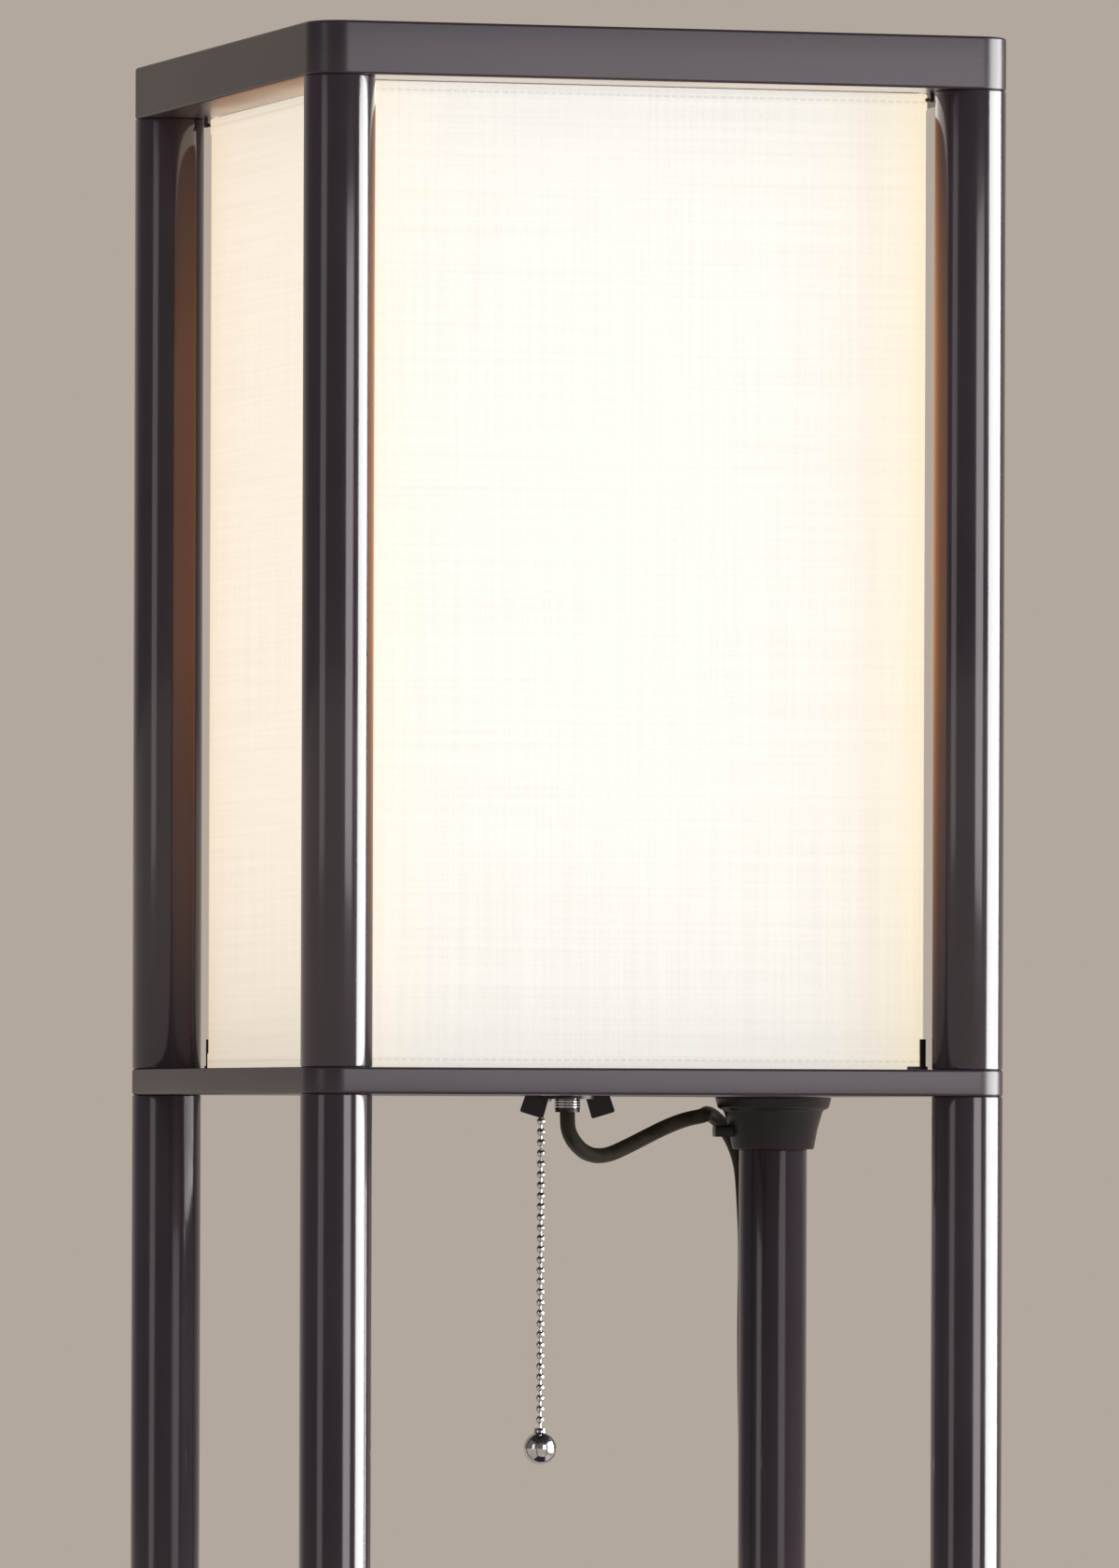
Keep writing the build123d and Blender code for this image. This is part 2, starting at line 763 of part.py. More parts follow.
ball_z = ball_neck_top_z - ball_neck_height - ball_diameter / 2
with BuildPart() as chain_ball:
    with Locations((chain_x, chain_y, ball_z)):
        Sphere(ball_diameter / 2)
    with BuildSketch(chain_plane.offset(ball_z)):
        Circle(ball_neck_diameter / 2)
    extrude(amount=ball_neck_top_z - ball_z)
    with BuildSketch(chain_plane.offset(ball_neck_top_z)):
        Circle(link_diameter / 2 + rod_clearance)
    extrude(amount=-ball_bore_depth, mode=Mode.SUBTRACT)
write(chain_ball, "chain_ball")

# ================================================================ cord collar on the rear right post
collar_centre = corners["rear_right"]
collar_bore = post_radius + collar_clearance
collar_plane = Plane(origin=(*collar_centre, light_panel_z), x_dir=(1, 0, 0), z_dir=(0, -1, 0))
with BuildPart() as cord_collar:
    with BuildSketch(collar_plane):
        with BuildLine():
            Polyline(
                (collar_bore, 0),
                (collar_flange_radius, 0),
                (collar_flange_radius - edge_rounding, -collar_flange_thickness),
                (collar_shoulder_radius, -collar_flange_thickness - edge_rounding),
                (collar_waist_radius, -collar_waist_drop),
                (collar_end_radius, -collar_height),
                (collar_bore, -collar_height),
                close=True,
            )
        make_face()
    revolve(axis=Axis((*collar_centre, 0), (0, 0, 1)))
    nub_direction = (cos(radians(collar_nub_turn)), sin(radians(collar_nub_turn)))
    nub_start = collar_bore + collar_nub_root
    nub_length = collar_nub_reach - nub_start
    nub_plane = Plane(
        origin=(*collar_centre, light_panel_z - collar_nub_top - collar_nub_thickness),
        x_dir=(*nub_direction, 0),
        z_dir=(0, 0, 1),
    )
    with BuildSketch(nub_plane):
        with Locations((nub_start + nub_length / 2, 0)):
            RectangleRounded(nub_length, collar_nub_width, edge_rounding)
    extrude(amount=collar_nub_thickness)
write(cord_collar, "cord_collar")

# ================================================================ cord
with BuildPart() as cord_in_fitting:
    with BuildSketch(fitting_plane.offset(cord_exit_z)):
        Circle(cord_diameter / 2)
    extrude(amount=core_z - cord_exit_z)
write(cord_in_fitting, "cord_in_fitting")

# The cord's route: down out of the fitting, in a shallow swag to the collar, over its nub and
# round behind the post, then hanging down behind the tower to the floor.
cord_route = [
    (2.5, 0.0, 1215.0),
    (2.5, 0.0, 1210.6),
    (3.6, 1.5, 1207.6),
    (6.3, 5.0, 1204.4),
    (11.9, 12.4, 1200.8),
    (19.4, 22.4, 1199.0),
    (28.4, 34.4, 1199.4),
    (39.8, 49.6, 1202.4),
    (53.1, 67.1, 1206.4),
    (66.3, 84.7, 1210.2),
    (78.9, 101.5, 1212.9),
    (89.7, 115.9, 1213.7),
    (95.1, 127.0, 1215.1),
    (102.0, 134.3, 1211.9),
    (108.3, 137.9, 1205.2),
    (112.0, 138.2, 1195.9),
    (111.6, 135.4, 1185.0),
    (112.3, 135.0, 1165.0),
    (112.4, 137.4, 1130.0),
    (114.2, 139.4, 1072.0),
    (115.6, 141.4, 990.0),
    (117.4, 142.6, 906.0),
    (118.0, 144.6, 822.0),
    (119.8, 145.2, 738.0),
    (120.2, 147.2, 654.0),
    (119.4, 148.4, 570.0),
    (120.6, 148.0, 486.0),
    (119.6, 146.6, 402.0),
    (120.4, 145.4, 318.0),
    (119.2, 144.8, 236.0),
    (119.0, 143.0, 160.0),
    (117.4, 142.2, 96.0),
    (115.6, 144.6, 48.0),
    (111.4, 152.6, 17.0),
    (106.8, 168.0, 4.6),
    (104.0, 187.6, 3.0),
    (104.0, 208.4, 3.0),
]


def run_lengths(route):
    """The length of each straight run between neighbouring points."""
    return [dist(a, b) for a, b in zip(route, route[1:])]


def corner_turns(route):
    """How many degrees the route turns at each of its inner points."""
    runs = [Vector(b) - Vector(a) for a, b in zip(route, route[1:])]
    return [before.get_angle(after) for before, after in zip(runs, runs[1:])]


def corner_radii(route):
    """The largest arc each corner has room for: 0.45 of its shorter run each way."""
    runs = run_lengths(route)
    return [
        0.45 * min(before, after) / tan(radians(turn / 2))
        for before, after, turn in zip(runs, runs[1:], corner_turns(route))
    ]


cord_radii = corner_radii(cord_route)
with BuildPart() as cord_run:
    with BuildLine() as cord_path:
        FilletPolyline(*cord_route, radius=cord_radii)
    with BuildSketch(square_to(cord_path)):
        Circle(cord_diameter / 2)
    sweep(path=cord_path)
write(cord_run, "cord_run")


# ================================================================ coil of the lead, behind the foot
def spiral_station(quarter):
    """Place and heading on the coil after a number of quarter turns.

    The cord spirals in on the floor at a steady rate, climbs one layer in the half turn
    where the spiral reverses, and spirals out again on top.
    """
    inward = 4 * coil_turns + 1
    angle = quarter * pi / 2
    steps_in = quarter if quarter <= inward else 2 * inward - quarter
    radius = coil_outer_radius - steps_in * coil_pitch / 4
    growth = -coil_pitch / (2 * pi) if quarter < inward else coil_pitch / (2 * pi)
    growth = 0 if quarter in (0, inward, 2 * inward) else growth
    climbed = min(max(quarter - (inward - 1), 0), 2) / 2
    slope = 2 * coil_layer_rise / (pi * radius) if quarter == inward else 0
    place = Vector(
        coil_centre[0] + radius * cos(angle),
        coil_centre[1] + radius * sin(angle),
        coil_first_layer_z + climbed * coil_layer_rise,
    )
    heading = Vector(
        growth * cos(angle) - radius * sin(angle),
        growth * sin(angle) + radius * cos(angle),
        slope * radius,
    )
    return place, heading.normalized()


def biarc(start, start_heading, end, end_heading):
    """Two arcs that join two places smoothly with the given headings."""
    gap = end - start
    both = start_heading + end_heading
    spread = 2 * (1 - start_heading.dot(end_heading))
    reach = (sqrt(gap.dot(both) ** 2 + spread * gap.dot(gap)) - gap.dot(both)) / spread
    joint = (start + end + (start_heading - end_heading) * reach) * 0.5
    joint_heading = (end - end_heading * reach) - (start + start_heading * reach)
    TangentArc(start, joint, tangent=start_heading)
    TangentArc(joint, end, tangent=joint_heading.normalized())


half_turn_stations = list(range(0, 4 * coil_turns + 1, 2))
climb_station = 4 * coil_turns + 1
outward_stations = list(range(4 * coil_turns + 2, 8 * coil_turns + 3, 2))
stations = [spiral_station(q) for q in half_turn_stations + [climb_station] + outward_stations]
coil_start = stations[0][0] - stations[0][1] * cord_diameter
coil_end = stations[-1][0] + stations[-1][1] * cord_diameter
with BuildPart() as cord_coil:
    with BuildLine() as coil_path:
        Line(coil_start, stations[0][0])
        for (here, heading), (there, next_heading) in zip(stations, stations[1:]):
            biarc(here, heading, there, next_heading)
        Line(stations[-1][0], coil_end)
    with BuildSketch(square_to(coil_path)):
        Circle(cord_diameter / 2)
    sweep(path=coil_path)
write(cord_coil, "cord_coil")

# ================================================================ plug on the cord's end
plug_heading = stations[-1][1]
relief_plane = Plane(origin=coil_end, z_dir=plug_heading, x_dir=(1, 0, 0))
with BuildPart() as plug_body:
    with BuildSketch(relief_plane):
        Circle(relief_small_diameter / 2)
    with BuildSketch(relief_plane.offset(relief_length)):
        Circle(relief_large_diameter / 2)
    loft()
    with BuildSketch(relief_plane.offset(relief_length)):
        RectangleRounded(plug_width, plug_thickness, plug_rounding)
    extrude(amount=plug_length)
    with BuildSketch(relief_plane.offset(relief_length + plug_length)):
        with Locations((-blade_spacing / 2, 0), (blade_spacing / 2, 0)):
            Rectangle(blade_thickness, blade_width)
    extrude(amount=-blade_length / 2, mode=Mode.SUBTRACT)
write(plug_body, "plug_body")

with BuildPart() as plug_blades:
    with BuildSketch(relief_plane.offset(relief_length + plug_length - blade_length / 2)):
        with Locations((-blade_spacing / 2, 0), (blade_spacing / 2, 0)):
            Rectangle(blade_thickness, blade_width)
    extrude(amount=1.5 * blade_length)
write(plug_blades, "plug_blades")

# ================================================================ what the cord and coil measure
section = pi * cord_diameter**2 / 4


def least_gap(path, diameter, samples=420):
    """The smallest gap between parts of a tube that aren't next to each other."""
    points = [path.line @ (step / samples) for step in range(samples + 1)]
    apart = int(3 * diameter / sum(edge.length for edge in path.edges()) * samples) + 1
    return min(
        (points[i] - points[j]).length - diameter
        for i in range(len(points))
        for j in range(i + apart, len(points))
    )


print("lamp height", round(lamp_height, 2))
print("cord runs", [round(run, 1) for run in run_lengths(cord_route)])
print("cord turns", [round(turn, 1) for turn in corner_turns(cord_route)])
print("cord arc radii", [round(radius, 1) for radius in cord_radii])
cord_length = sum(edge.length for edge in cord_path.edges())
coil_length = sum(edge.length for edge in coil_path.edges())
print("cord run length", round(cord_length, 1), "coil length", round(coil_length, 1))
print("cord volume ratio", round(cord_run.part.volume / (section * cord_length), 5))
print("coil volume ratio", round(cord_coil.part.volume / (section * coil_length), 5))
print("coil least gap", round(least_gap(coil_path, cord_diameter), 2))
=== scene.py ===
"""Dresses the shelf floor lamp: finishes for every piece, smooth shells, the cord and the light.

Metres, +Z up. The front of the lamp faces -Y, and the tower stands over the origin.
"""

import logging
import math
from dataclasses import dataclass
from enum import Enum
from typing import Sequence

import bmesh
import bpy
import numpy as np
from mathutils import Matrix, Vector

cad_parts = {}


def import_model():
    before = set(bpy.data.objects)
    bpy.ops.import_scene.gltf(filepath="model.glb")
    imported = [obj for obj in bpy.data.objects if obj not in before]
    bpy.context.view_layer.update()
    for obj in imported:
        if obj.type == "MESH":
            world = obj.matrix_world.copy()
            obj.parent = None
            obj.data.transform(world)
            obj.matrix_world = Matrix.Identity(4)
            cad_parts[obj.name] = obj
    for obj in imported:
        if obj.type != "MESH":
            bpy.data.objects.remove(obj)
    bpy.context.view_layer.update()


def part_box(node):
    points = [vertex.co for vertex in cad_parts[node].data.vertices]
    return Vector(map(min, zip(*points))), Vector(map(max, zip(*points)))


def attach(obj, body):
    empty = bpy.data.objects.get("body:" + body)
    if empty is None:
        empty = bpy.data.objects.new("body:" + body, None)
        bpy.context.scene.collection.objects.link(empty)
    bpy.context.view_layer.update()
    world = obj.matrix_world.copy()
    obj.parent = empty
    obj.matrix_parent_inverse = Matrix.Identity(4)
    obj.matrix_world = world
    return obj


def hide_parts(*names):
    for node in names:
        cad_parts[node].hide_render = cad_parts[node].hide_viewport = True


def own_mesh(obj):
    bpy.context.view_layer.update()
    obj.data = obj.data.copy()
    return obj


log = logging.getLogger("shelf_floor_lamp")

Array = np.ndarray
Colour = tuple[float, float, float]
Point = tuple[float, float, float]
Pair = tuple[float, float]
Surface = tuple[Array, Array]
Material = bpy.types.Material
Mesh = bpy.types.Mesh
Node = bpy.types.Node
Object = bpy.types.Object
Socket = bpy.types.NodeSocket
Tree = bpy.types.NodeTree

# ------------------------------------------------------------------ sizes that several pieces share
POST_OFFSET = 0.1173
POST_RADIUS = 0.0127
TOWER_HALF = 0.130
BOARD_THICKNESS = 0.0095
LIGHT_PANEL_Z = 1.221
PANEL_TOP_Z = LIGHT_PANEL_Z + BOARD_THICKNESS
TOP_FRAME_Z = 1.581
FITTING_X = 0.0025
CHAIN_Y = 0.034
CORD_DIAMETER = 0.0056
FITTING_LINE = (FITTING_X, 0.0, 0.0)
CHAIN_LINE = (FITTING_X, CHAIN_Y, 0.0)

TIERS = ("lamp_bay", "upper_bay", "middle_bay", "lower_bay")
CORNERS: dict[str, Pair] = {
    "front_left": (-POST_OFFSET, -POST_OFFSET),
    "front_right": (POST_OFFSET, -POST_OFFSET),
    "rear_right": (POST_OFFSET, POST_OFFSET),
    "rear_left": (-POST_OFFSET, POST_OFFSET),
}

# points nearer than this are merged, and shorter slivers dissolved
MERGE_DISTANCE = 1e-7
SLIVER_LENGTH = 1e-8


class Body(Enum):
    """The bodies that pieces ride on."""

    STAND = "stand"
    PULL = "pull"
    SWIVEL = "chain_swivel"
    HANGING = "hanging_chain"
    BULB = "bulb"


class LightReach(Enum):
    """Which reflections a light takes part in."""

    ALL = "all"
    MATTE = "matte"
    GLOSS = "gloss"


@dataclass(frozen=True)
class Hole:
    """An upright round hole between two heights."""

    x: float
    y: float
    radius: float
    low: float
    high: float


# ================================================================== surfaces
def grid_faces(rows: int, columns: int) -> Array:
    """Four-sided faces between neighbouring closed rows of points.

    Args:
        rows: how many rows of points.
        columns: how many points in a row, whose last joins its first.

    Returns:
        Indices, one line for each face.
    """
    row = np.arange(rows - 1)[:, None]
    col = np.arange(columns)[None]
    after = (col + 1) % columns
    corners = [row * columns + col, row * columns + after, (row + 1) * columns + after, (row + 1) * columns + col]
    return np.stack([c + 0 * row + 0 * col for c in corners], axis=-1).reshape(-1, 4)


def ringed(grid: Array) -> Surface:
    """The surface through a stack of closed rings, given as rings by points by (x, y, z)."""
    return grid.reshape(-1, 3), grid_faces(*grid.shape[:2])


def at_height(outline: Array, height: float) -> Array:
    """A flat outline's points at one height."""
    return np.column_stack([outline, np.full(len(outline), height)])


def turned(profile: Sequence[Pair], sides: int, centre: Point = (0, 0, 0)) -> Surface:
    """Surface of revolution about a vertical line.

    A point is (cx + r cos a, cy + r sin a, cz + z), for each (r, z) of the profile and each angle a.

    Args:
        profile: (radius, height) points, from the bottom outside upwards, so that faces point out.
        sides: how many steps go round.
        centre: the point that radii and heights are counted from.

    Returns:
        The vertices and the four-sided faces.
    """
    radius, height = np.asarray(profile, float).T[:, :, None]
    angle = np.linspace(0, 2 * np.pi, sides, endpoint=False)[None]
    x = centre[0] + radius * np.cos(angle)
    y = centre[1] + radius * np.sin(angle)
    return ringed(np.stack([x, y, centre[2] + height + 0 * angle], axis=-1))


def corner_rays(per_corner: int) -> tuple[Array, Array]:
    """The four corners' signs, and unit vectors (cos a, sin a) round each quarter, anticlockwise.

    Args:
        per_corner: points on each corner.

    Returns:
        The signs and the unit vectors, one line for each point.
    """
    quarter = np.linspace(0, np.pi / 2, per_corner)
    angle = (quarter[None] + np.arange(4)[:, None] * np.pi / 2).ravel()
    signs = np.array([[1, 1], [-1, 1], [-1, -1], [1, -1]], float).repeat(per_corner, axis=0)
    return signs, np.stack([np.cos(angle), np.sin(angle)], axis=-1)


def rounded_square(half: float, radius: float, per_corner: int) -> Array:
    """Outline of a square with round corners, anticlockwise.

    Each corner is a quarter circle about (half - radius) along both axes.

    Args:
        half: half of the square's side.
        radius: the corners' radius.
        per_corner: points on each quarter circle.

    Returns:
        Points (x, y), without a repeat of the first.
    """
    signs, rays = corner_rays(per_corner)
    return signs * (half - radius) + radius * rays


def slab_rings(half: float, corner: float, profile: Sequence[Pair], per_corner: int) -> Array:
    """Rings of a rounded square, each drawn in by an inset, as its corners are, and lifted to a height.

    Args:
        half: half of the outermost side.
        corner: the outermost corner radius.
        profile: (inset, height) of each ring; a negative inset makes a ring larger.
        per_corner: points on each corner.

    Returns:
        The points, as rings by points by (x, y, z).
    """
    return np.array(
        [at_height(rounded_square(half - inset, corner - inset, per_corner), height) for inset, height in profile]
    )


def arris(height_low: float, height_high: float, radius: float, steps: int, support: float) -> list[Pair]:
    """Profile of a board's edge, rounded above and below, with a flat ring inside each rounding.

    Each rounding is a quarter circle: inset r(1 - sin a), height r(1 - cos a) from the face.

    Args:
        height_low: the underside's height.
        height_high: the top's height.
        radius: the roundings' radius.
        steps: faces in each rounding.
        support: how far inside the edge the flat ring lies.

    Returns:
        (inset, height) points from the underside to the top.
    """
    a = np.linspace(0, np.pi / 2, steps + 1)
    low = list(zip(radius * (1 - np.sin(a)), height_low + radius * (1 - np.cos(a))))
    high = list(zip(radius * (1 - np.sin(a[::-1])), height_high - radius * (1 - np.cos(a[::-1]))))
    return [(support, height_low), *low, *high, (support, height_high)]


def eased(corners: Sequence[Pair], reach: float, steps: int = 4) -> list[Pair]:
    """Rounds the corners of a closed outline.

    Near a corner c the outline follows (1-t)^2 a + 2t(1-t) c + t^2 b, where a and b lie on its two sides at a
    reach from it, and a further point beyond each keeps the flat part flat.

    Args:
        corners: the outline's corner points.
        reach: how far from a corner its rounding starts, at most a share of the shorter side.
        steps: how many steps each rounding has.

    Returns:
        The rounded outline's points, the first again at the end.
    """
    side_share, flat_by = 0.3, 1.5
    line = np.asarray(corners, float)
    sides = [np.roll(line, by, axis=0) - line for by in (1, -1)]
    lengths = [np.linalg.norm(side, axis=1)[:, None] for side in sides]
    size = np.minimum(reach, side_share * np.minimum(*lengths))
    back, ahead = (side / length * size for side, length in zip(sides, lengths))
    t = np.linspace(0, 1, steps + 1)[None, :, None]
    start, end = line + back, line + ahead
    curve = (1 - t) ** 2 * start[:, None] + 2 * t * (1 - t) * line[:, None] + t**2 * end[:, None]
    flats = [(line + way * flat_by)[:, None] for way in (back, ahead)]
    rounded = np.concatenate([flats[0], curve, flats[1]], axis=1).reshape(-1, 2)
    return [tuple(p) for p in np.vstack([rounded, rounded[:1]])]


def arc(radius: float, centre: Pair, start: float, end: float, steps: int) -> list[Pair]:
    """Points of a circle's arc, (cx + r cos a, cz + r sin a), between two angles in degrees."""
    a = np.radians(np.linspace(start, end, steps + 1))
    return list(zip(centre[0] + radius * np.cos(a), centre[1] + radius * np.sin(a)))


def stations_surface(stations: Sequence[tuple[float, ...]], origin: Point, per_corner: int) -> Surface:
    """Rounded rectangles carried along -Y, such as a plug's body.

    A section point is the corner centre (half - corner) plus corner (cos a, sin a), along X and Z.

    Args:
        stations: (distance along -Y, half width, half thickness, corner radius).
        origin: where the distance is counted from.
        per_corner: points on each corner.

    Returns:
        The vertices and the four-sided faces.
    """
    along, half_width, half_thickness, corner = np.asarray(stations, float).T[:, :, None]
    signs, rays = corner_rays(per_corner)
    x = signs[None, :, 0] * (half_width - corner) + corner * rays[None, :, 0]
    z = signs[None, :, 1] * (half_thickness - corner) + corner * rays[None, :, 1]
    return ringed(np.stack([origin[0] + x, origin[1] - along + 0 * x, origin[2] + z], axis=-1))


def carried(path: Array, radius: float, sides: int, closed: bool) -> Surface:
    """A round section carried along a path that nowhere runs upright.

    At each point the section stands square to the path, spanned by a level line and their cross product.

    Args:
        path: points along the middle.
        radius: the section's radius.
        sides: points round the section.
        closed: whether the path's end joins its start.

    Returns:
        The vertices and the four-sided faces.
    """
    ahead = np.roll(path, -1, axis=0) - np.roll(path, 1, axis=0)
    if not closed:
        ahead[0], ahead[-1] = path[1] - path[0], path[-1] - path[-2]
    ahead /= np.linalg.norm(ahead, axis=1)[:, None]
    side = np.cross(ahead, np.array([[0, 0, 1.0]]))
    side /= np.linalg.norm(side, axis=1)[:, None]
    over = np.cross(side, ahead)
    angle = np.linspace(0, 2 * np.pi, sides, endpoint=False)[None, :, None]
    ring = path[:, None] + radius * (np.cos(angle) * side[:, None] + np.sin(angle) * over[:, None])
    points = ring.reshape(-1, 3)
    faces = grid_faces(len(path) + (1 if closed else 0), sides)
    return points, (faces % len(points)) if closed else faces


def placed(name: str, data: bpy.types.ID) -> Object:
    """Makes an object that holds some data, and links it to the scene.

    Args:
        name: the object's name.
        data: the mesh, curve, light or camera.

    Returns:
        The object.
    """
    thing = bpy.data.objects.new(name, data)
    bpy.context.scene.collection.objects.link(thing)
    return thing


def sewn(name: str, parts: Sequence[Surface], close: bool) -> Mesh:
    """Joins surfaces into one mesh, merges its seams and poles, caps open rims if asked, and turns faces out.

    Args:
        name: the mesh's name.
        parts: surfaces as (vertices, faces).
        close: whether open rims are capped flat.

    Returns:
        The mesh.
    """
    starts = np.cumsum([0, *(len(vertices) for vertices, _ in parts)])
    points = np.concatenate([vertices for vertices, _ in parts])
    faces = np.concatenate([quads + start for (_, quads), start in zip(parts, starts)])
    mesh = bpy.data.meshes.new(name)
    mesh.from_pydata(points.tolist(), [], faces.tolist())
    work = bmesh.new()
    work.from_mesh(mesh)
    bmesh.ops.remove_doubles(work, verts=work.verts, dist=MERGE_DISTANCE)
    bmesh.ops.dissolve_degenerate(work, edges=work.edges, dist=SLIVER_LENGTH)
    if close:
        bmesh.ops.holes_fill(work, edges=[e for e in work.edges if e.is_boundary], sides=0)
    bmesh.ops.recalc_face_normals(work, faces=work.faces)
    work.to_mesh(mesh)
    work.free()
    return mesh


def drilled(mesh: Mesh, holes: Sequence[Hole]) -> Mesh:
    """Cuts round holes into a mesh with one Boolean.

    Args:
        mesh: the closed mesh.
        holes: the holes to cut.

    Returns:
        The drilled mesh, under the same name.
    """
    pins = [
        turned([(0.0, h.low), (h.radius, h.low), (h.radius, h.high), (0.0, h.high)], sides=64, centre=(h.x, h.y, 0))
        for h in holes
    ]
    blank, cutter = placed("blank", mesh), placed("cutter", sewn("cutter", pins, close=False))
    cut = blank.modifiers.new("holes", "BOOLEAN")
    cut.operation, cut.solver, cut.object = "DIFFERENCE", "EXACT", cutter
    result = bpy.data.meshes.new_from_object(blank.evaluated_get(bpy.context.evaluated_depsgraph_get()))
    for thing in (blank, cutter):
        bpy.data.objects.remove(thing)
    result.name = mesh.name
    return result


def make_piece(
    name: str,
    parts: Sequence[Surface],
    material: Material,
    node: str,
    sharp: float,
    body: Body = Body.STAND,
    close: bool = True,
    holes: Sequence[Hole] = (),
) -> Object:
    """Makes one object from surfaces, closes its poles, smooths it and rides it on a body.

    Args:
        name: the object's name.
        parts: surfaces as (vertices, faces).
        material: its finish.
        node: the node that it stands for.
        sharp: an edge that turns more than this many degrees stays sharp.
        body: the body that it rides on.
        close: whether open rims are capped flat.
        holes: round holes to cut.

    Returns:
        The object.
    """
    mesh = sewn(name, parts, close)
    if holes:
        mesh = drilled(mesh, holes)
    mesh.shade_smooth()
    mesh.set_sharp_from_angle(angle=math.radians(sharp))
    mesh.materials.append(material)
    piece = placed(name, mesh)
    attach(piece, body.value)
    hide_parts(node)
    log.info("%s: %d faces", name, len(mesh.polygons))
    return piece


# ================================================================== node helpers
class Nodes:
    """Short calls that place nodes and join them, in one node tree."""

    def __init__(self, tree: Tree) -> None:
        """Keeps the tree."""
        self.tree = tree

    def add(self, kind: str, **values: object) -> Node:
        """Adds a node and sets its properties and, by name with spaces as _, its inputs.

        Args:
            kind: the node's type.
            values: properties and inputs by name.

        Returns:
            The node.
        """
        node = self.tree.nodes.new(kind)
        for key, value in values.items():
            if hasattr(node, key):
                setattr(node, key, value)
            else:
                node.inputs[key.replace("_", " ")].default_value = value
        return node

    def join(self, value: object, target: Socket) -> None:
        """Joins an output to an input, or sets the input to a number or an (r, g, b).

        Args:
            value: an output, a number or a colour.
            target: the input.
        """
        if isinstance(value, Socket):
            self.tree.links.new(value, target)
        else:
            target.default_value = (*value, 1.0) if target.type == "RGBA" else value

    def math(self, operation: str, a: object, b: object = None, clamp: bool = False) -> Socket:
        """Places a Math node on sockets or numbers.

        Args:
            operation: the node's operation.
            a: the first value.
            b: the second value, where the operation has one.
            clamp: whether the result is kept from 0 to 1.

        Returns:
            The node's output.
        """
        node = self.add("ShaderNodeMath", operation=operation, use_clamp=clamp)
        self.join(a, node.inputs[0])
        if b is not None:
            self.join(b, node.inputs[1])
        return node.outputs[0]

    def mix(self, factor: object, a: object, b: object) -> Socket:
        """Mixes two colours, each a socket or (r, g, b), by a factor.

        Args:
            factor: how much of the second colour shows.
            a: the first colour.
            b: the second colour.

        Returns:
            The mixed colour.
        """
        node = self.add("ShaderNodeMix", data_type="RGBA")
        for index, value in ((0, factor), (6, a), (7, b)):
            self.join(value, node.inputs[index])
        return node.outputs[2]

    def scale(self, colour: object, factor: Socket) -> Socket:
        """Scales a colour, a socket or (r, g, b), by a factor.

        Args:
            colour: the colour.
            factor: what it is multiplied by.

        Returns:
            The scaled colour.
        """
        node = self.add("ShaderNodeVectorMath", operation="SCALE")
        self.join(colour, node.inputs[0])
        self.join(factor, node.inputs["Scale"])
        return node.outputs[0]

    def uv(self, name: str) -> tuple[Socket, Socket]:
        """The two coordinates of a UV map.

        Args:
            name: the map's name.

        Returns:
            The first and the second coordinate.
        """
        split = self.add("ShaderNodeSeparateXYZ")
        self.join(self.add("ShaderNodeUVMap", uv_map=name).outputs["UV"], split.inputs[0])
        return split.outputs["X"], split.outputs["Y"]

    def noise(self, place: Socket, **values: float) -> Node:
        """A Noise Texture node, looked up at a place.

        Args:
            place: the coordinates.
            values: the node's inputs by name.

        Returns:
            The node.
        """
        node = self.add("ShaderNodeTexNoise", **values)
        self.join(place, node.inputs["Vector"])
        return node

    def spread(self, value: Socket, low: float, high: float, to_low: float = 0.0, to_high: float = 1.0) -> Socket:
        """Maps a value from one range to another, and keeps it inside that.

        Args:
            value: the value.
            low: start of its range.
            high: end of its range.
            to_low: what the start becomes.
            to_high: what the end becomes.

        Returns:
            The mapped value.
        """
        node = self.add("ShaderNodeMapRange", From_Min=low, From_Max=high, To_Min=to_low, To_Max=to_high)
        self.join(value, node.inputs["Value"])
        return node.outputs["Result"]


def new_group(name: str, inputs: dict[str, float], outputs: Sequence[str]) -> tuple[Tree, Nodes, Node, Node]:
    """Starts a node group whose inputs and outputs are numbers.

    Args:
        name: the group's name.
        inputs: the default of each input, by name.
        outputs: the outputs' names.

    Returns:
        The group, its node helper, its input node and its output node.
    """
    group = bpy.data.node_groups.new(name, "ShaderNodeTree")
    for label, default in inputs.items():
        socket = group.interface.new_socket(label, in_out="INPUT", socket_type="NodeSocketFloat")
        socket.default_value = default
    for label in outputs:
        group.interface.new_socket(label, in_out="OUTPUT", socket_type="NodeSocketFloat")
    n = Nodes(group)
    return group, n, n.add("NodeGroupInput"), n.add("NodeGroupOutput")


def lacquer_group() -> Tree:
    """A coated surface: fine orange peel, faint dust and slight wear, as masks and a height.

    Returns:
        The node group.
    """
    scales = {"Peel Scale": 900.0, "Smudge Scale": 14.0}
    group, n, given, put = new_group("lacquer_surface", scales, ["Peel", "Smudge", "Dust"])
    place = n.add("ShaderNodeTexCoord").outputs["Object"]
    peel = n.noise(place, Detail=2.0, Roughness=0.5)
    smudge = n.noise(place, Detail=3.0, Roughness=0.55)
    dust = n.noise(place, Scale=2600.0, Detail=1.0)
    n.join(given.outputs["Peel Scale"], peel.inputs["Scale"])
    n.join(given.outputs["Smudge Scale"], smudge.inputs["Scale"])
    n.join(peel.outputs["Fac"], put.inputs["Peel"])
    n.join(n.spread(smudge.outputs["Fac"], 0.35, 0.7), put.inputs["Smudge"])
    n.join(n.spread(dust.outputs["Fac"], 0.72, 0.8), put.inputs["Dust"])
    return group


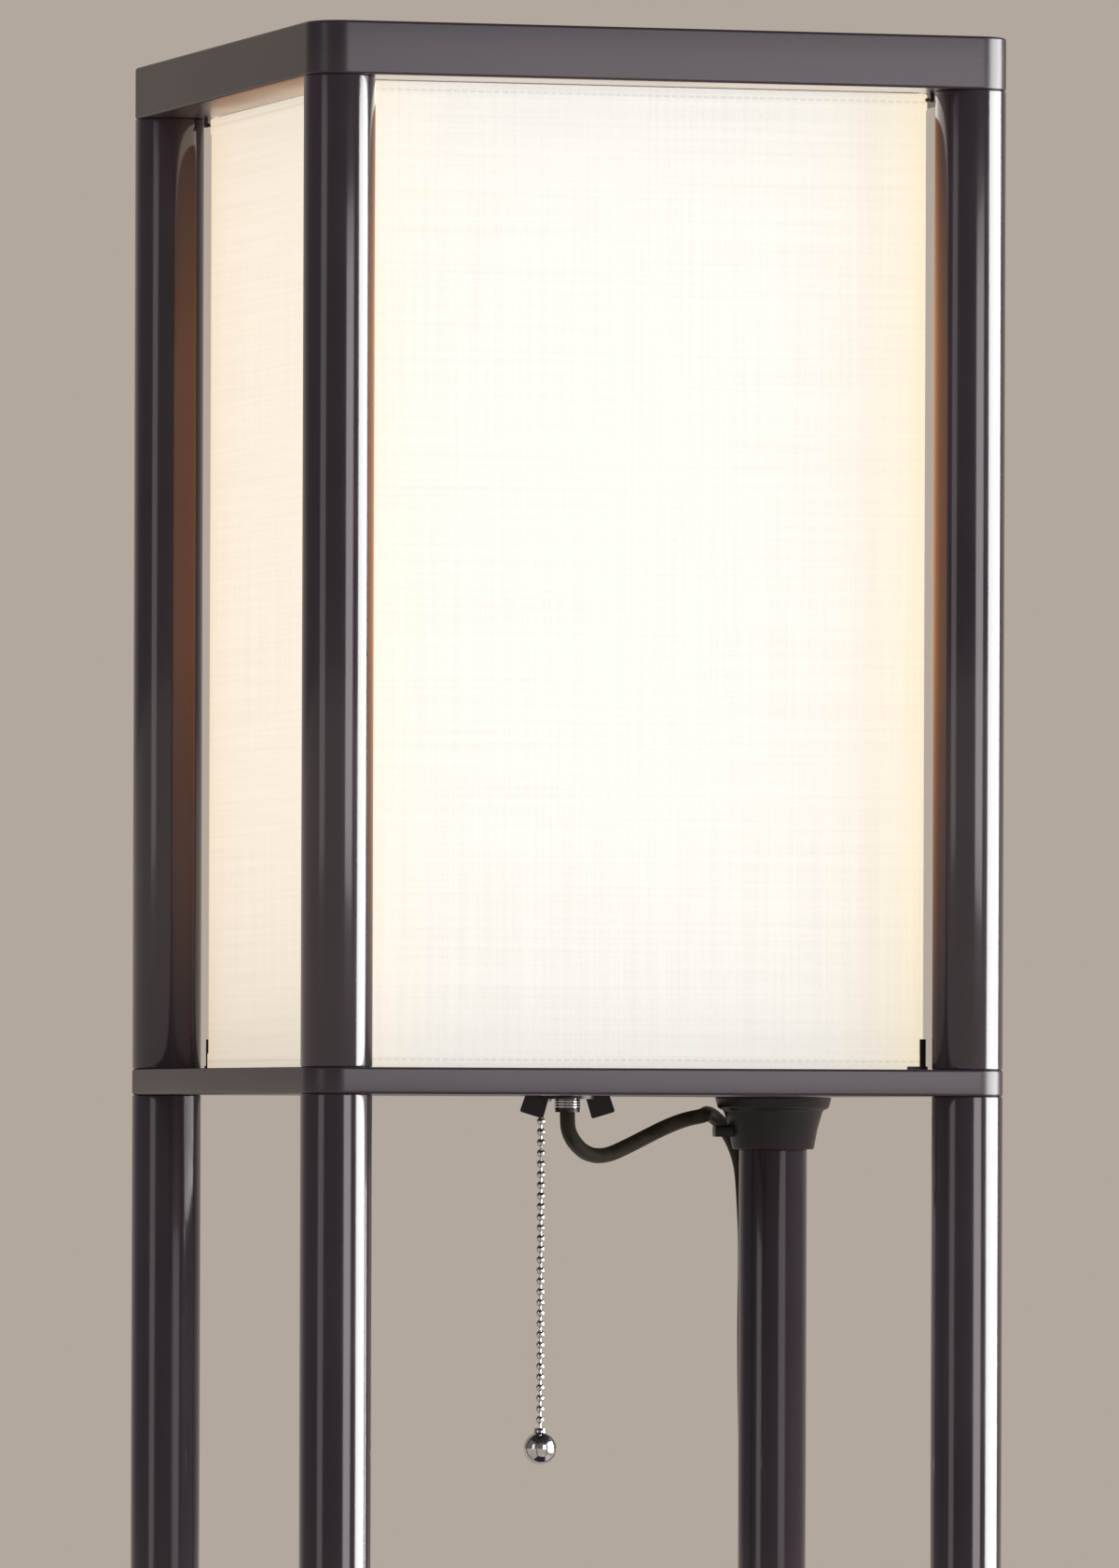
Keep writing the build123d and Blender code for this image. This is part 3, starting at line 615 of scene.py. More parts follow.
def weave_group() -> Tree:
    """Plain weave on a UV map in metres: threads that pass over and under, with slubs.

    The height is the larger of a warp wave and a weft wave that are half a step out of phase:
    each is |sin| across its threads, times 0.6 plus or minus half the other's sine.

    Returns:
        The node group.
    """
    group, n, given, put = new_group("plain_weave", {"Thread": 0.00042}, ["Height", "Slub"])
    turn = n.math("DIVIDE", math.pi, given.outputs["Thread"])
    across, along = (n.math("SINE", n.math("MULTIPLY", way, turn)) for way in n.uv("cloth"))
    base, sway = 0.6, 0.5
    warp = n.math("MULTIPLY", n.math("ABSOLUTE", across), n.math("ADD", n.math("MULTIPLY", along, sway), base))
    weft = n.math("MULTIPLY", n.math("ABSOLUTE", along), n.math("SUBTRACT", base, n.math("MULTIPLY", across, sway)))
    n.join(n.math("MAXIMUM", warp, weft), put.inputs["Height"])
    slubs = []
    slub_length, slub_width = 9.0, 700.0
    for stretch in ((slub_length, slub_width), (slub_width, slub_length)):
        scaled = n.add("ShaderNodeMapping", Scale=(*stretch, 1.0))
        n.join(n.add("ShaderNodeUVMap", uv_map="cloth").outputs["UV"], scaled.inputs["Vector"])
        slubs.append(n.noise(scaled.outputs["Vector"], Scale=1.0, Detail=2.0).outputs["Fac"])
    n.join(n.math("MULTIPLY", n.math("ADD", *slubs), 0.5), put.inputs["Slub"])
    return group


def stitch_group() -> Tree:
    """A row of stitches along the cloth at one height: a mask that is 1 on the thread.

    Returns:
        The node group.
    """
    sizes = {"Height": 1.0, "Pitch": 0.0030, "Width": 0.0004, "Stitch": 0.72}
    group, n, given, put = new_group("stitch_row", sizes, ["Mask"])
    along, up = n.uv("cloth")
    off = n.math("ABSOLUTE", n.math("SUBTRACT", up, given.outputs["Height"]))
    row = n.math("LESS_THAN", off, given.outputs["Width"])
    step = n.math("FRACT", n.math("DIVIDE", along, given.outputs["Pitch"]))
    dash = n.math("LESS_THAN", step, given.outputs["Stitch"])
    n.join(n.math("MULTIPLY", row, dash), put.inputs["Mask"])
    return group


def brushed_group() -> Tree:
    """Fine tooling lines round or along a metal piece, as one value.

    Returns:
        The node group.
    """
    group, n, given, put = new_group("tooling_lines", {"Across": 60.0, "Along": 1800.0}, ["Lines"])
    scale = n.add("ShaderNodeCombineXYZ")
    for index, label in enumerate(("Across", "Across", "Along")):
        n.join(given.outputs[label], scale.inputs[index])
    stretched = n.add("ShaderNodeVectorMath", operation="MULTIPLY")
    n.join(n.add("ShaderNodeTexCoord").outputs["Object"], stretched.inputs[0])
    n.join(scale.outputs[0], stretched.inputs[1])
    n.join(n.noise(stretched.outputs[0], Scale=1.0, Detail=3.0).outputs["Fac"], put.inputs["Lines"])
    return group


@dataclass(frozen=True)
class Groups:
    """The shared node groups."""

    lacquer: Tree
    weave: Tree
    lines: Tree
    stitches: Tree


def start_material(name: str, **values: float) -> tuple[Material, Nodes, Node]:
    """An empty material with one Principled shader joined to its output.

    Args:
        name: the material's name.
        values: the shader's own values, by name with spaces as _.

    Returns:
        The material, its node helper and the shader node.
    """
    material = bpy.data.materials.new(name)
    material.use_nodes = True
    material.node_tree.nodes.clear()
    n = Nodes(material.node_tree)
    shader = n.add("ShaderNodeBsdfPrincipled", **values)
    out = n.add("ShaderNodeOutputMaterial")
    n.join(shader.outputs["BSDF"], out.inputs["Surface"])
    return material, n, shader


def use_group(n: Nodes, group: Tree, **values: float) -> Node:
    """Places a shared group with its own values, given by name with spaces as _.

    Args:
        n: the material's node helper.
        group: the shared group.
        values: its inputs by name.

    Returns:
        The group node.
    """
    node = n.tree.nodes.new("ShaderNodeGroup")
    node.node_tree = group
    for key, value in values.items():
        node.inputs[key.replace("_", " ")].default_value = value
    return node


def dimmed(colour: Colour, share: float) -> Colour:
    """A colour with each channel times one share."""
    return tuple(c * share for c in colour)


def bump(n: Nodes, shader: Node, height: Socket, strength: float, distance: float) -> None:
    """Feeds a height through a Bump node into a shader's normal.

    Args:
        n: the material's node helper.
        shader: the shader that is bumped.
        height: the height, from 0 to 1.
        strength: the node's strength.
        distance: the height of 1, in metres.
    """
    node = n.add("ShaderNodeBump", Strength=strength, Distance=distance)
    n.join(height, node.inputs["Height"])
    n.join(node.outputs["Normal"], shader.inputs["Normal"])


@dataclass(frozen=True)
class Coating:
    """Lacquer, moulded plastic or a cord's sleeve: one colour with smudges, dust and a fine grain.

    Without a worn colour of its own, a smudge is half again as light as the colour.
    """

    name: str
    colour: Colour
    roughness: float
    roughness_rise: float = 0.12
    worn: Colour | None = None
    wear: float = 1.0
    dust: float = 0.0
    grain_scale: float = 1800.0
    grain_strength: float = 0.4
    grain_depth: float = 0.00003
    smudge_scale: float = 40.0
    specular: float = 0.5
    coat: float = 0.0
    coat_roughness: float = 0.078

    def build(self, groups: Groups) -> Material:
        """Builds the material.

        Args:
            groups: the shared node groups.

        Returns:
            The material.
        """
        material, n, shader = start_material(
            self.name, Specular_IOR_Level=self.specular, Coat_Weight=self.coat, Coat_Roughness=self.coat_roughness
        )
        surface = use_group(n, groups.lacquer, Peel_Scale=self.grain_scale, Smudge_Scale=self.smudge_scale)
        worn = self.worn or tuple(min(1.0, c * 1.5 + 0.006) for c in self.colour)
        wear = n.math("MULTIPLY", surface.outputs["Smudge"], self.wear)
        n.join(n.mix(wear, self.colour, worn), shader.inputs["Base Color"])
        worn_roughness = self.roughness + self.roughness_rise
        rough = n.spread(surface.outputs["Smudge"], 0.0, 1.0, self.roughness, worn_roughness)
        dust = n.math("MULTIPLY", surface.outputs["Dust"], self.dust)
        n.join(n.math("ADD", rough, dust), shader.inputs["Roughness"])
        bump(n, shader, surface.outputs["Peel"], self.grain_strength, self.grain_depth)
        return material


@dataclass(frozen=True)
class Metal:
    """Bare or plated metal with tooling lines."""

    name: str
    colour: Colour
    roughness: float
    line_roughness: float = 0.12
    line_range: Pair = (0.3, 0.7)
    line_shade: float = 0.82
    line_depth: float = 0.00002

    def build(self, groups: Groups) -> Material:
        """Builds the material.

        Args:
            groups: the shared node groups.

        Returns:
            The material.
        """
        material, n, shader = start_material(self.name, Metallic=1.0)
        lines = use_group(n, groups.lines).outputs["Lines"]
        n.join(n.mix(lines, self.colour, dimmed(self.colour, self.line_shade)), shader.inputs["Base Color"])
        rough = n.spread(lines, *self.line_range, self.roughness, self.roughness + self.line_roughness)
        n.join(rough, shader.inputs["Roughness"])
        bump(n, shader, lines, 0.15, self.line_depth)
        return material


@dataclass(frozen=True)
class ShadeCloth:
    """Translucent lined cloth, lit from within: near white in front, warmer at the sides and edges.

    Looked at straight, the lit cloth is so bright that it reads as white. In the lacquer's weak
    reflections its own warm colour shows, so glossy rays are given that colour, except close under
    the top frame, whose underside mirrors the cloth so strongly that it reads as cream.
    """

    name: str
    # the cloth, its slubs and its two rows of stitches
    cloth: Colour = (0.57, 0.55, 0.50)
    slub_cloth: Colour = (0.51, 0.49, 0.43)
    slub_range: Pair = (0.40, 0.66)
    slub_shadow: float = 0.05
    thread: Colour = (0.40, 0.34, 0.26)
    thread_share: float = 0.35
    thread_shadow: float = 0.14
    stitch_heights: Pair = (PANEL_TOP_Z + 0.003, TOP_FRAME_Z - 0.0034)
    # the glow as it is looked at: on the front and side faces, and at their upright edges
    glow_front: Colour = (0.905, 0.89, 0.855)
    glow_side: Colour = (1.045, 0.915, 0.75)
    edge_front: Colour = (1.343, 1.12, 0.707)
    edge_side: Colour = (1.13, 0.90, 0.62)
    edge_share: float = 0.55
    glow_strength: float = 0.72
    glow_height: float = 1.45
    half_side: float = 0.105
    half_height: float = 0.20
    off_middle: float = 0.06
    rim_fall: float = 0.10
    side_fall: float = 0.05
    # painted reflections: the glow that glossy rays see on the cloth, up the faces, and close under the top frame
    glow_mirrored: Colour = (1.55, 0.50, 0.06)
    fade_low: Pair = (1.25, 1.39)
    fade_high: Pair = (1.50, 1.58)
    faded_low: float = 0.05
    faded_high: float = 0.3
    painted_rim_reflection_front: Colour = (2.45, 2.25, 2.00)
    painted_rim_reflection_side: Colour = (1.98, 1.53, 1.12)
    rim_from: float = TOP_FRAME_Z - 0.008

    def build(self, groups: Groups) -> Material:
        """Builds the material.

        The glow warms towards the upright edges as the fifth power of the distance along a face, and
        dims towards the rims as the fourth power of the height from the bulb. The bulb hangs a little
        off the middle, so one edge of each face is warmer than the other.

        Args:
            groups: the shared node groups.

        Returns:
            The material.
        """
        material, n, shader = start_material(
            self.name, Roughness=0.85, Sheen_Weight=0.1, Emission_Strength=self.glow_strength
        )
        weave = use_group(n, groups.weave)
        slub = n.spread(weave.outputs["Slub"], *self.slub_range)
        rows = [use_group(n, groups.stitches, Height=height).outputs["Mask"] for height in self.stitch_heights]
        thread = n.math("MAXIMUM", *rows)
        cloth = n.mix(slub, self.cloth, self.slub_cloth)
        sewn_cloth = n.mix(n.math("MULTIPLY", thread, self.thread_share), cloth, self.thread)
        n.join(sewn_cloth, shader.inputs["Base Color"])
        along, height = n.uv("cloth")
        sideways = n.uv("facing")[0]
        across = n.math("ADD", n.math("DIVIDE", along, self.half_side), self.off_middle)
        off_side = n.math("POWER", n.math("ABSOLUTE", across), 5.0)
        lift = n.math("DIVIDE", n.math("SUBTRACT", height, self.glow_height), self.half_height)
        off_height = n.math("POWER", n.math("ABSOLUTE", lift), 4.0)
        far = n.math("MULTIPLY", off_side, self.edge_share, clamp=True)
        middle = n.mix(sideways, self.glow_front, self.glow_side)
        glow = n.mix(far, middle, n.mix(sideways, self.edge_front, self.edge_side))
        fall = n.math("ADD", n.math("MULTIPLY", sideways, self.side_fall), self.rim_fall)
        dim = 1.0
        for amount, share in ((off_height, fall), (slub, self.slub_shadow), (thread, self.thread_shadow)):
            dim = n.math("MULTIPLY", dim, n.math("SUBTRACT", 1.0, n.math("MULTIPLY", amount, share)))
        # painted reflections: glossy rays see a warm glow that fades by height, and cream close under the top frame
        low_fade = n.spread(height, *self.fade_low, self.faded_low, 1.0)
        high_fade = n.spread(height, *self.fade_high, 1.0, self.faded_high)
        faded = n.scale(self.glow_mirrored, n.math("MULTIPLY", low_fade, high_fade))
        at_rim = n.math("GREATER_THAN", height, self.rim_from)
        mirrored = n.mix(at_rim, faded, n.mix(sideways, self.painted_rim_reflection_front, self.painted_rim_reflection_side))
        in_gloss = n.add("ShaderNodeLightPath").outputs["Is Glossy Ray"]
        n.join(n.mix(in_gloss, n.scale(glow, dim), mirrored), shader.inputs["Emission Color"])
        bump(n, shader, n.math("ADD", weave.outputs["Height"], n.math("MULTIPLY", thread, 2.0)), 0.35, 0.0001)
        return material


@dataclass(frozen=True)
class BulbGlass:
    """Frosted glass, lit."""

    name: str
    colour: Colour = (0.55, 0.54, 0.51)
    glow: Colour = (1.0, 0.92, 0.76)
    glow_rim: Colour = (0.34, 0.25, 0.14)
    strength: float = 0.62

    def build(self, groups: Groups) -> Material:
        """Builds the material; the glow is weaker and warmer towards the outline, so the glass reads as round.

        Args:
            groups: the shared node groups.

        Returns:
            The material.
        """
        material, n, shader = start_material(self.name, Roughness=0.3, Emission_Strength=self.strength)
        surface = use_group(n, groups.lacquer, Peel_Scale=1500.0, Smudge_Scale=30.0)
        smudge = surface.outputs["Smudge"]
        warmer = tuple(c * f for c, f in zip(self.glow, (1.0, 0.94, 0.84)))
        edge = n.add("ShaderNodeLayerWeight", Blend=0.4).outputs["Facing"]
        n.join(n.mix(edge, n.mix(smudge, self.glow, warmer), self.glow_rim), shader.inputs["Emission Color"])
        n.join(n.mix(smudge, self.colour, dimmed(self.colour, 0.94)), shader.inputs["Base Color"])
        bump(n, shader, surface.outputs["Peel"], 0.2, 0.00003)
        return material


class Finishes:
    """Every finish of the lamp, built once."""

    def __init__(self) -> None:
        """Builds the shared groups and each material."""
        groups = Groups(lacquer_group(), weave_group(), brushed_group(), stitch_group())
        lacquer = {"wear": 0.6, "dust": 0.12, "grain_strength": 0.25, "smudge_scale": 14.0}
        post = Coating(
            "post_lacquer", (0.034, 0.0245, 0.034), 0.13, 0.05, worn=(0.050, 0.039, 0.050),
            grain_scale=900.0, grain_depth=0.00002, coat=0.6, **lacquer,
        )
        board = Coating(
            "board_lacquer", (0.037, 0.029, 0.038), 0.27, 0.04, worn=(0.048, 0.039, 0.048),
            grain_scale=600.0, grain_depth=0.00004, **lacquer,
        )
        cord = Coating(
            "cord_sleeve", (0.009, 0.008, 0.006), 0.40, 0.15, worn=(0.036, 0.029, 0.018),
            grain_scale=2200.0, grain_strength=0.5, grain_depth=0.00005, smudge_scale=60.0, specular=0.35,
        )
        self.post, self.board, self.cord = post.build(groups), board.build(groups), cord.build(groups)
        self.plastic = Coating("black_moulding", (0.017, 0.015, 0.016), 0.34, specular=0.38).build(groups)
        self.glide = Coating("glide_moulding", (0.018, 0.018, 0.018), 0.55).build(groups)
        self.insert = Coating("natural_nylon", (0.62, 0.60, 0.55), 0.45).build(groups)
        self.rod = Coating("ivory_moulding", (0.72, 0.68, 0.58), 0.40).build(groups)
        self.wire = Coating("coated_wire", (0.74, 0.71, 0.64), 0.45).build(groups)
        self.chrome = Metal("bright_chrome", (0.86, 0.86, 0.87), 0.05, 0.06).build(groups)
        self.zinc = Metal("zinc_plate", (0.58, 0.58, 0.57), 0.28).build(groups)
        self.brass = Metal("brass_shell", (0.74, 0.55, 0.26), 0.22).build(groups)
        self.contact = Metal("bare_brass", (0.78, 0.60, 0.30), 0.26).build(groups)
        self.aluminium = Metal("bulb_cap", (0.74, 0.74, 0.74), 0.30).build(groups)
        self.cloth = ShadeCloth("shade_cloth").build(groups)
        self.glass = BulbGlass("bulb_glass").build(groups)
        log.info("finishes built: %d materials", len(bpy.data.materials))


def dress_nodes(material: Material, *nodes: str) -> None:
    """Gives some of the frame's nodes their finish.

    Args:
        material: their finish.
        nodes: the nodes' names.
    """
    for node in nodes:
        mesh = bpy.data.objects[node].data
        mesh.materials.clear()
        mesh.materials.append(material)


def span(node: str) -> Pair:
    """The lowest and the highest height of a node of the frame."""
    low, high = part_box(node)
    return low[2], high[2]


# ================================================================== the tower
@dataclass
class Tower:
    """Posts, boards, feet and the top frame."""

    post_bore: float = 0.0115
    post_chamfer: float = 0.0004
    post_sides: int = 96
    arris_radius: float = 0.001
    arris_steps: int = 6
    arris_support: float = 0.004
    frame_opening_half: float = 0.1025
    frame_opening_corner: float = 0.004
    stud_hole: float = 0.0041
    nipple_hole: float = 0.00495
    guide_hole: float = 0.0039
    pocket_radius: float = 0.0061
    pocket_top: float = 1.594
    overcut: float = 0.002
    glide_radius: float = 0.012
    glide_rounding: float = 0.0015
    glide_height: float = 0.006
    glide_flat: float = 0.002
    glide_chamfer: float = 0.0003
    corner_points: int = 24

    def post_profile(self, low: float, high: float) -> list[Pair]:
        """Outline of a post's wall, chamfered outside at both ends, as a loop that ends where it starts.

        Args:
            low: the post's lower end.
            high: the post's upper end.

        Returns:
            (radius, height) points.
        """
        r, c = POST_RADIUS, self.post_chamfer
        soft = c * 0.25
        slight = soft * 0.3
        bend = [(r - c - soft, 0.0), (r - c, slight), (r - slight, c), (r, c + soft)]
        bottom = [(radius, low + rise) for radius, rise in bend]
        top = [(radius, high - rise) for radius, rise in reversed(bend)]
        return [(self.post_bore, low), *bottom, *top, (self.post_bore, high), (self.post_bore, low)]

    def build_posts(self, finish: Material) -> None:
        """Builds the sixteen posts and the four short foot posts.

        Args:
            finish: the posts' material.
        """
        sets = {f"{tier}_post_{corner}": [spot] for tier in TIERS for corner, spot in CORNERS.items()}
        sets["foot_posts"] = list(CORNERS.values())
        for node, spots in sets.items():
            profile = self.post_profile(*span(node))
            tubes = [turned(profile, self.post_sides, (x, y, 0)) for x, y in spots]
            name = "foot_post_tubes" if node == "foot_posts" else f"{node}_tube"
            make_piece(name, tubes, finish, node, sharp=20, close=False)

    def build_glides(self, finish: Material) -> None:
        """Builds the rounded glides under the foot posts.

        Args:
            finish: the glides' material.
        """
        a = np.linspace(0, np.pi / 2, 7)
        r, q = self.glide_radius, self.glide_rounding
        edge = list(zip(r - q + q * np.sin(a), q * (1 - np.cos(a))))
        h, c = self.glide_height, self.glide_chamfer
        profile = [(0.0, 0.0), (r - q - self.glide_flat, 0.0), *edge, (r, h - c), (r - c, h), (0.0, h)]
        parts = [turned(profile, 64, (x, y, 0)) for x, y in CORNERS.values()]
        make_piece("glide_feet", parts, finish, "foot_glides", sharp=30)

    def edge(self, low: float, high: float) -> list[Pair]:
        """Profile of the edge of a board or of the top frame, between two heights."""
        return arris(low, high, self.arris_radius, self.arris_steps, self.arris_support)

    def build_boards(self, finish: Material) -> None:
        """Builds the four boards, each flush with the posts and round at its corners.

        Args:
            finish: the boards' material.
        """
        for node in ("lower_shelf", "middle_shelf", "upper_shelf", "light_panel"):
            low, high = span(node)
            surface = ringed(slab_rings(TOWER_HALF, POST_RADIUS, self.edge(low, high), self.corner_points))
            spots = [(x, y, self.stud_hole) for x, y in CORNERS.values()]
            if node == "light_panel":
                spots += [(FITTING_X, 0.0, self.nipple_hole), (FITTING_X, CHAIN_Y, self.guide_hole)]
            holes = [Hole(*spot, low - self.overcut, high + self.overcut) for spot in spots]
            make_piece(f"{node}_board", [surface], finish, node, sharp=40, holes=holes)

    def build_top_frame(self, finish: Material) -> None:
        """Builds the open top frame: an outer and an inner edge joined by flat faces.

        Args:
            finish: the frame's material.
        """
        low, high = span("top_frame")
        edge = self.edge(low, high)
        outer = slab_rings(TOWER_HALF, POST_RADIUS, edge, self.corner_points)
        widening = [(-inset, height) for inset, height in reversed(edge)]
        inner = slab_rings(self.frame_opening_half, self.frame_opening_corner, widening, self.corner_points)
        surface = ringed(np.concatenate([outer, inner, outer[:1]]))
        holes = [Hole(x, y, self.pocket_radius, low - self.overcut, self.pocket_top) for x, y in CORNERS.values()]
        make_piece("top_frame_rails", [surface], finish, "top_frame", 40, close=False, holes=holes)

    def build(self, finishes: Finishes) -> None:
        """Builds the whole tower and dresses its hidden joining pieces.

        Args:
            finishes: every finish of the lamp.
        """
        self.build_posts(finishes.post)
        self.build_glides(finishes.glide)
        self.build_boards(finishes.board)
        self.build_top_frame(finishes.board)
        dress_nodes(finishes.insert, "post_inserts")
        dress_nodes(finishes.zinc, "board_studs", "top_frame_studs", "top_frame_bushings")


# ================================================================== the shade
@dataclass
class Shade:
    """The lined cloth box, its wire frame, clips and hooks."""

    side_half: float = 0.10525
    corner: float = 0.003
    wall: float = 0.0008
    hem: float = 0.006
    hem_stand: float = 0.0003
    hem_edge: float = 0.0005
    hem_clear: float = 0.002
    roll: float = 0.0004
    roll_inset: float = 0.0003
    bow: float = 0.00035
    tolerance: float = 0.0002
    ring_half: float = 0.1028
    ring_corner: float = 0.0045
    wire_radius: float = 0.0015
    upright_radius: float = 0.0012
    upright_chamfer: float = 0.0002
    rows: int = 90
    face_points: int = 28

    def outline(self, inset: float) -> Array:
        """The box's plan at an inset: round corners, with extra points along each flat face.

        Args:
            inset: how far inside the outer face.

        Returns:
            Points (x, y), without a repeat of the first.
        """
        corner_points = 7
        corners = rounded_square(self.side_half - inset, self.corner - inset, corner_points)
        corners = corners.reshape(4, corner_points, 2)
        share = np.linspace(0, 1, self.face_points + 2)[1:-1, None]
        runs = []
        for corner, following in zip(corners, np.roll(corners, -1, axis=0)):
            runs += [corner, corner[-1] + (following[0] - corner[-1]) * share]
        return np.concatenate(runs)

    def build_skin(self, finish: Material) -> None:
        """Builds the cloth box as outer and inner walls joined by rolled rims.

        The outer wall bows in by a fraction of a millimetre at the middle of each face, as stretched
        cloth does, and stands proud by the hem's thickness at both rims.

        Args:
            finish: the cloth's material.
        """
        low, high = span("shade_skin")
        rim = np.array([0.0, self.roll, self.hem - self.hem_edge, self.hem])
        clear = self.hem + self.hem_clear
        z = np.concatenate([low + rim, np.linspace(low + clear, high - clear, self.rows), high - rim[::-1]])
        from_end = np.minimum(z - low, high - z)
        proud = np.where(from_end < self.hem - self.tolerance, self.hem_stand, 0.0)
        proud = proud - np.where(from_end < self.tolerance, self.roll_inset, 0.0)
        outer, inner = self.outline(0.0), self.outline(self.wall)
        unit = outer / np.max(np.abs(outer), axis=1)[:, None]
        middle = 1 - np.min(np.abs(unit), axis=1) ** 2
        swell = np.sin(np.pi * (z - low) / (high - low))
        bow = -self.bow * np.outer(swell, middle)
        walls = []
        for plan, reach in ((outer, bow + proud[:, None]), (inner, bow)):
            grow = (1 + reach / self.side_half)[:, :, None]
            flat = plan[None] * grow
            walls.append(np.concatenate([flat, z[:, None, None] + 0 * grow], axis=-1))
        surface = ringed(np.concatenate([walls[0], walls[1][::-1], walls[0][:1]]))
        piece = make_piece("shade_cloth_box", [surface], finish, "shade_skin", sharp=50, close=False)
        self.map_cloth(piece.data)

    def map_cloth(self, mesh: Mesh) -> None:
        """Gives the cloth its UV maps: one for its place on a face, and one for which way it faces.

        In the first, the coordinates are the distance along the face and the height, in metres. In the
        second, the first one is 1 on the left and right faces, and 0 on the front and back.

        Args:
            mesh: the cloth's mesh.
        """
        place = np.empty(len(mesh.vertices) * 3)
        mesh.vertices.foreach_get("co", place)
        owner = np.empty(len(mesh.loops), dtype=np.int64)
        mesh.loops.foreach_get("vertex_index", owner)
        face_of_loop = np.repeat(np.arange(len(mesh.polygons)), [len(p.vertices) for p in mesh.polygons])
        normals = np.empty(len(mesh.polygons) * 3)
        mesh.polygons.foreach_get("normal", normals)
        normals = np.abs(normals.reshape(-1, 3))[face_of_loop]
        x, y, z = place.reshape(-1, 3)[owner].T
        sideways = normals[:, 0] > normals[:, 1]
        coordinates = np.column_stack([np.where(sideways, y, x), z])
        facing = np.column_stack([sideways.astype(float), 0 * z])
        for name, pairs in (("cloth", coordinates), ("facing", facing)):
            layer = mesh.uv_layers.new(name=name)
            layer.data.foreach_set("uv", pairs.ravel())

    def build_rings(self, finish: Material) -> None:
        """Builds the two square wire rings and the four upright wires.

        Args:
            finish: the wires' material.
        """
        plan = rounded_square(self.ring_half, self.ring_corner, 9)
        for node in ("shade_lower_ring", "shade_upper_ring"):
            path = at_height(plan, sum(span(node)) / 2)
            surface = carried(path, self.wire_radius, 20, closed=True)
            make_piece(f"{node}_wire", [surface], finish, node, sharp=60, close=False)
        (_, _, low), (reach, _, high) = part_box("shade_uprights")
        r, c = self.upright_radius, self.upright_chamfer
        profile = [(0.0, low), (r - c, low), (r, low + c), (r, high - c), (r - c, high), (0.0, high)]
        off = reach - r
        parts = [turned(profile, 20, (sx * off, sy * off, 0)) for sx in (1, -1) for sy in (1, -1)]
        make_piece("shade_upright_wires", parts, finish, "shade_uprights", sharp=40)

    def build(self, finishes: Finishes) -> None:
        """Builds the shade and dresses its clips and hooks.

        Args:
            finishes: every finish of the lamp.
        """
        self.build_rings(finishes.wire)
        self.build_skin(finishes.cloth)
        dress_nodes(finishes.plastic, "shade_clips", "shade_hooks")


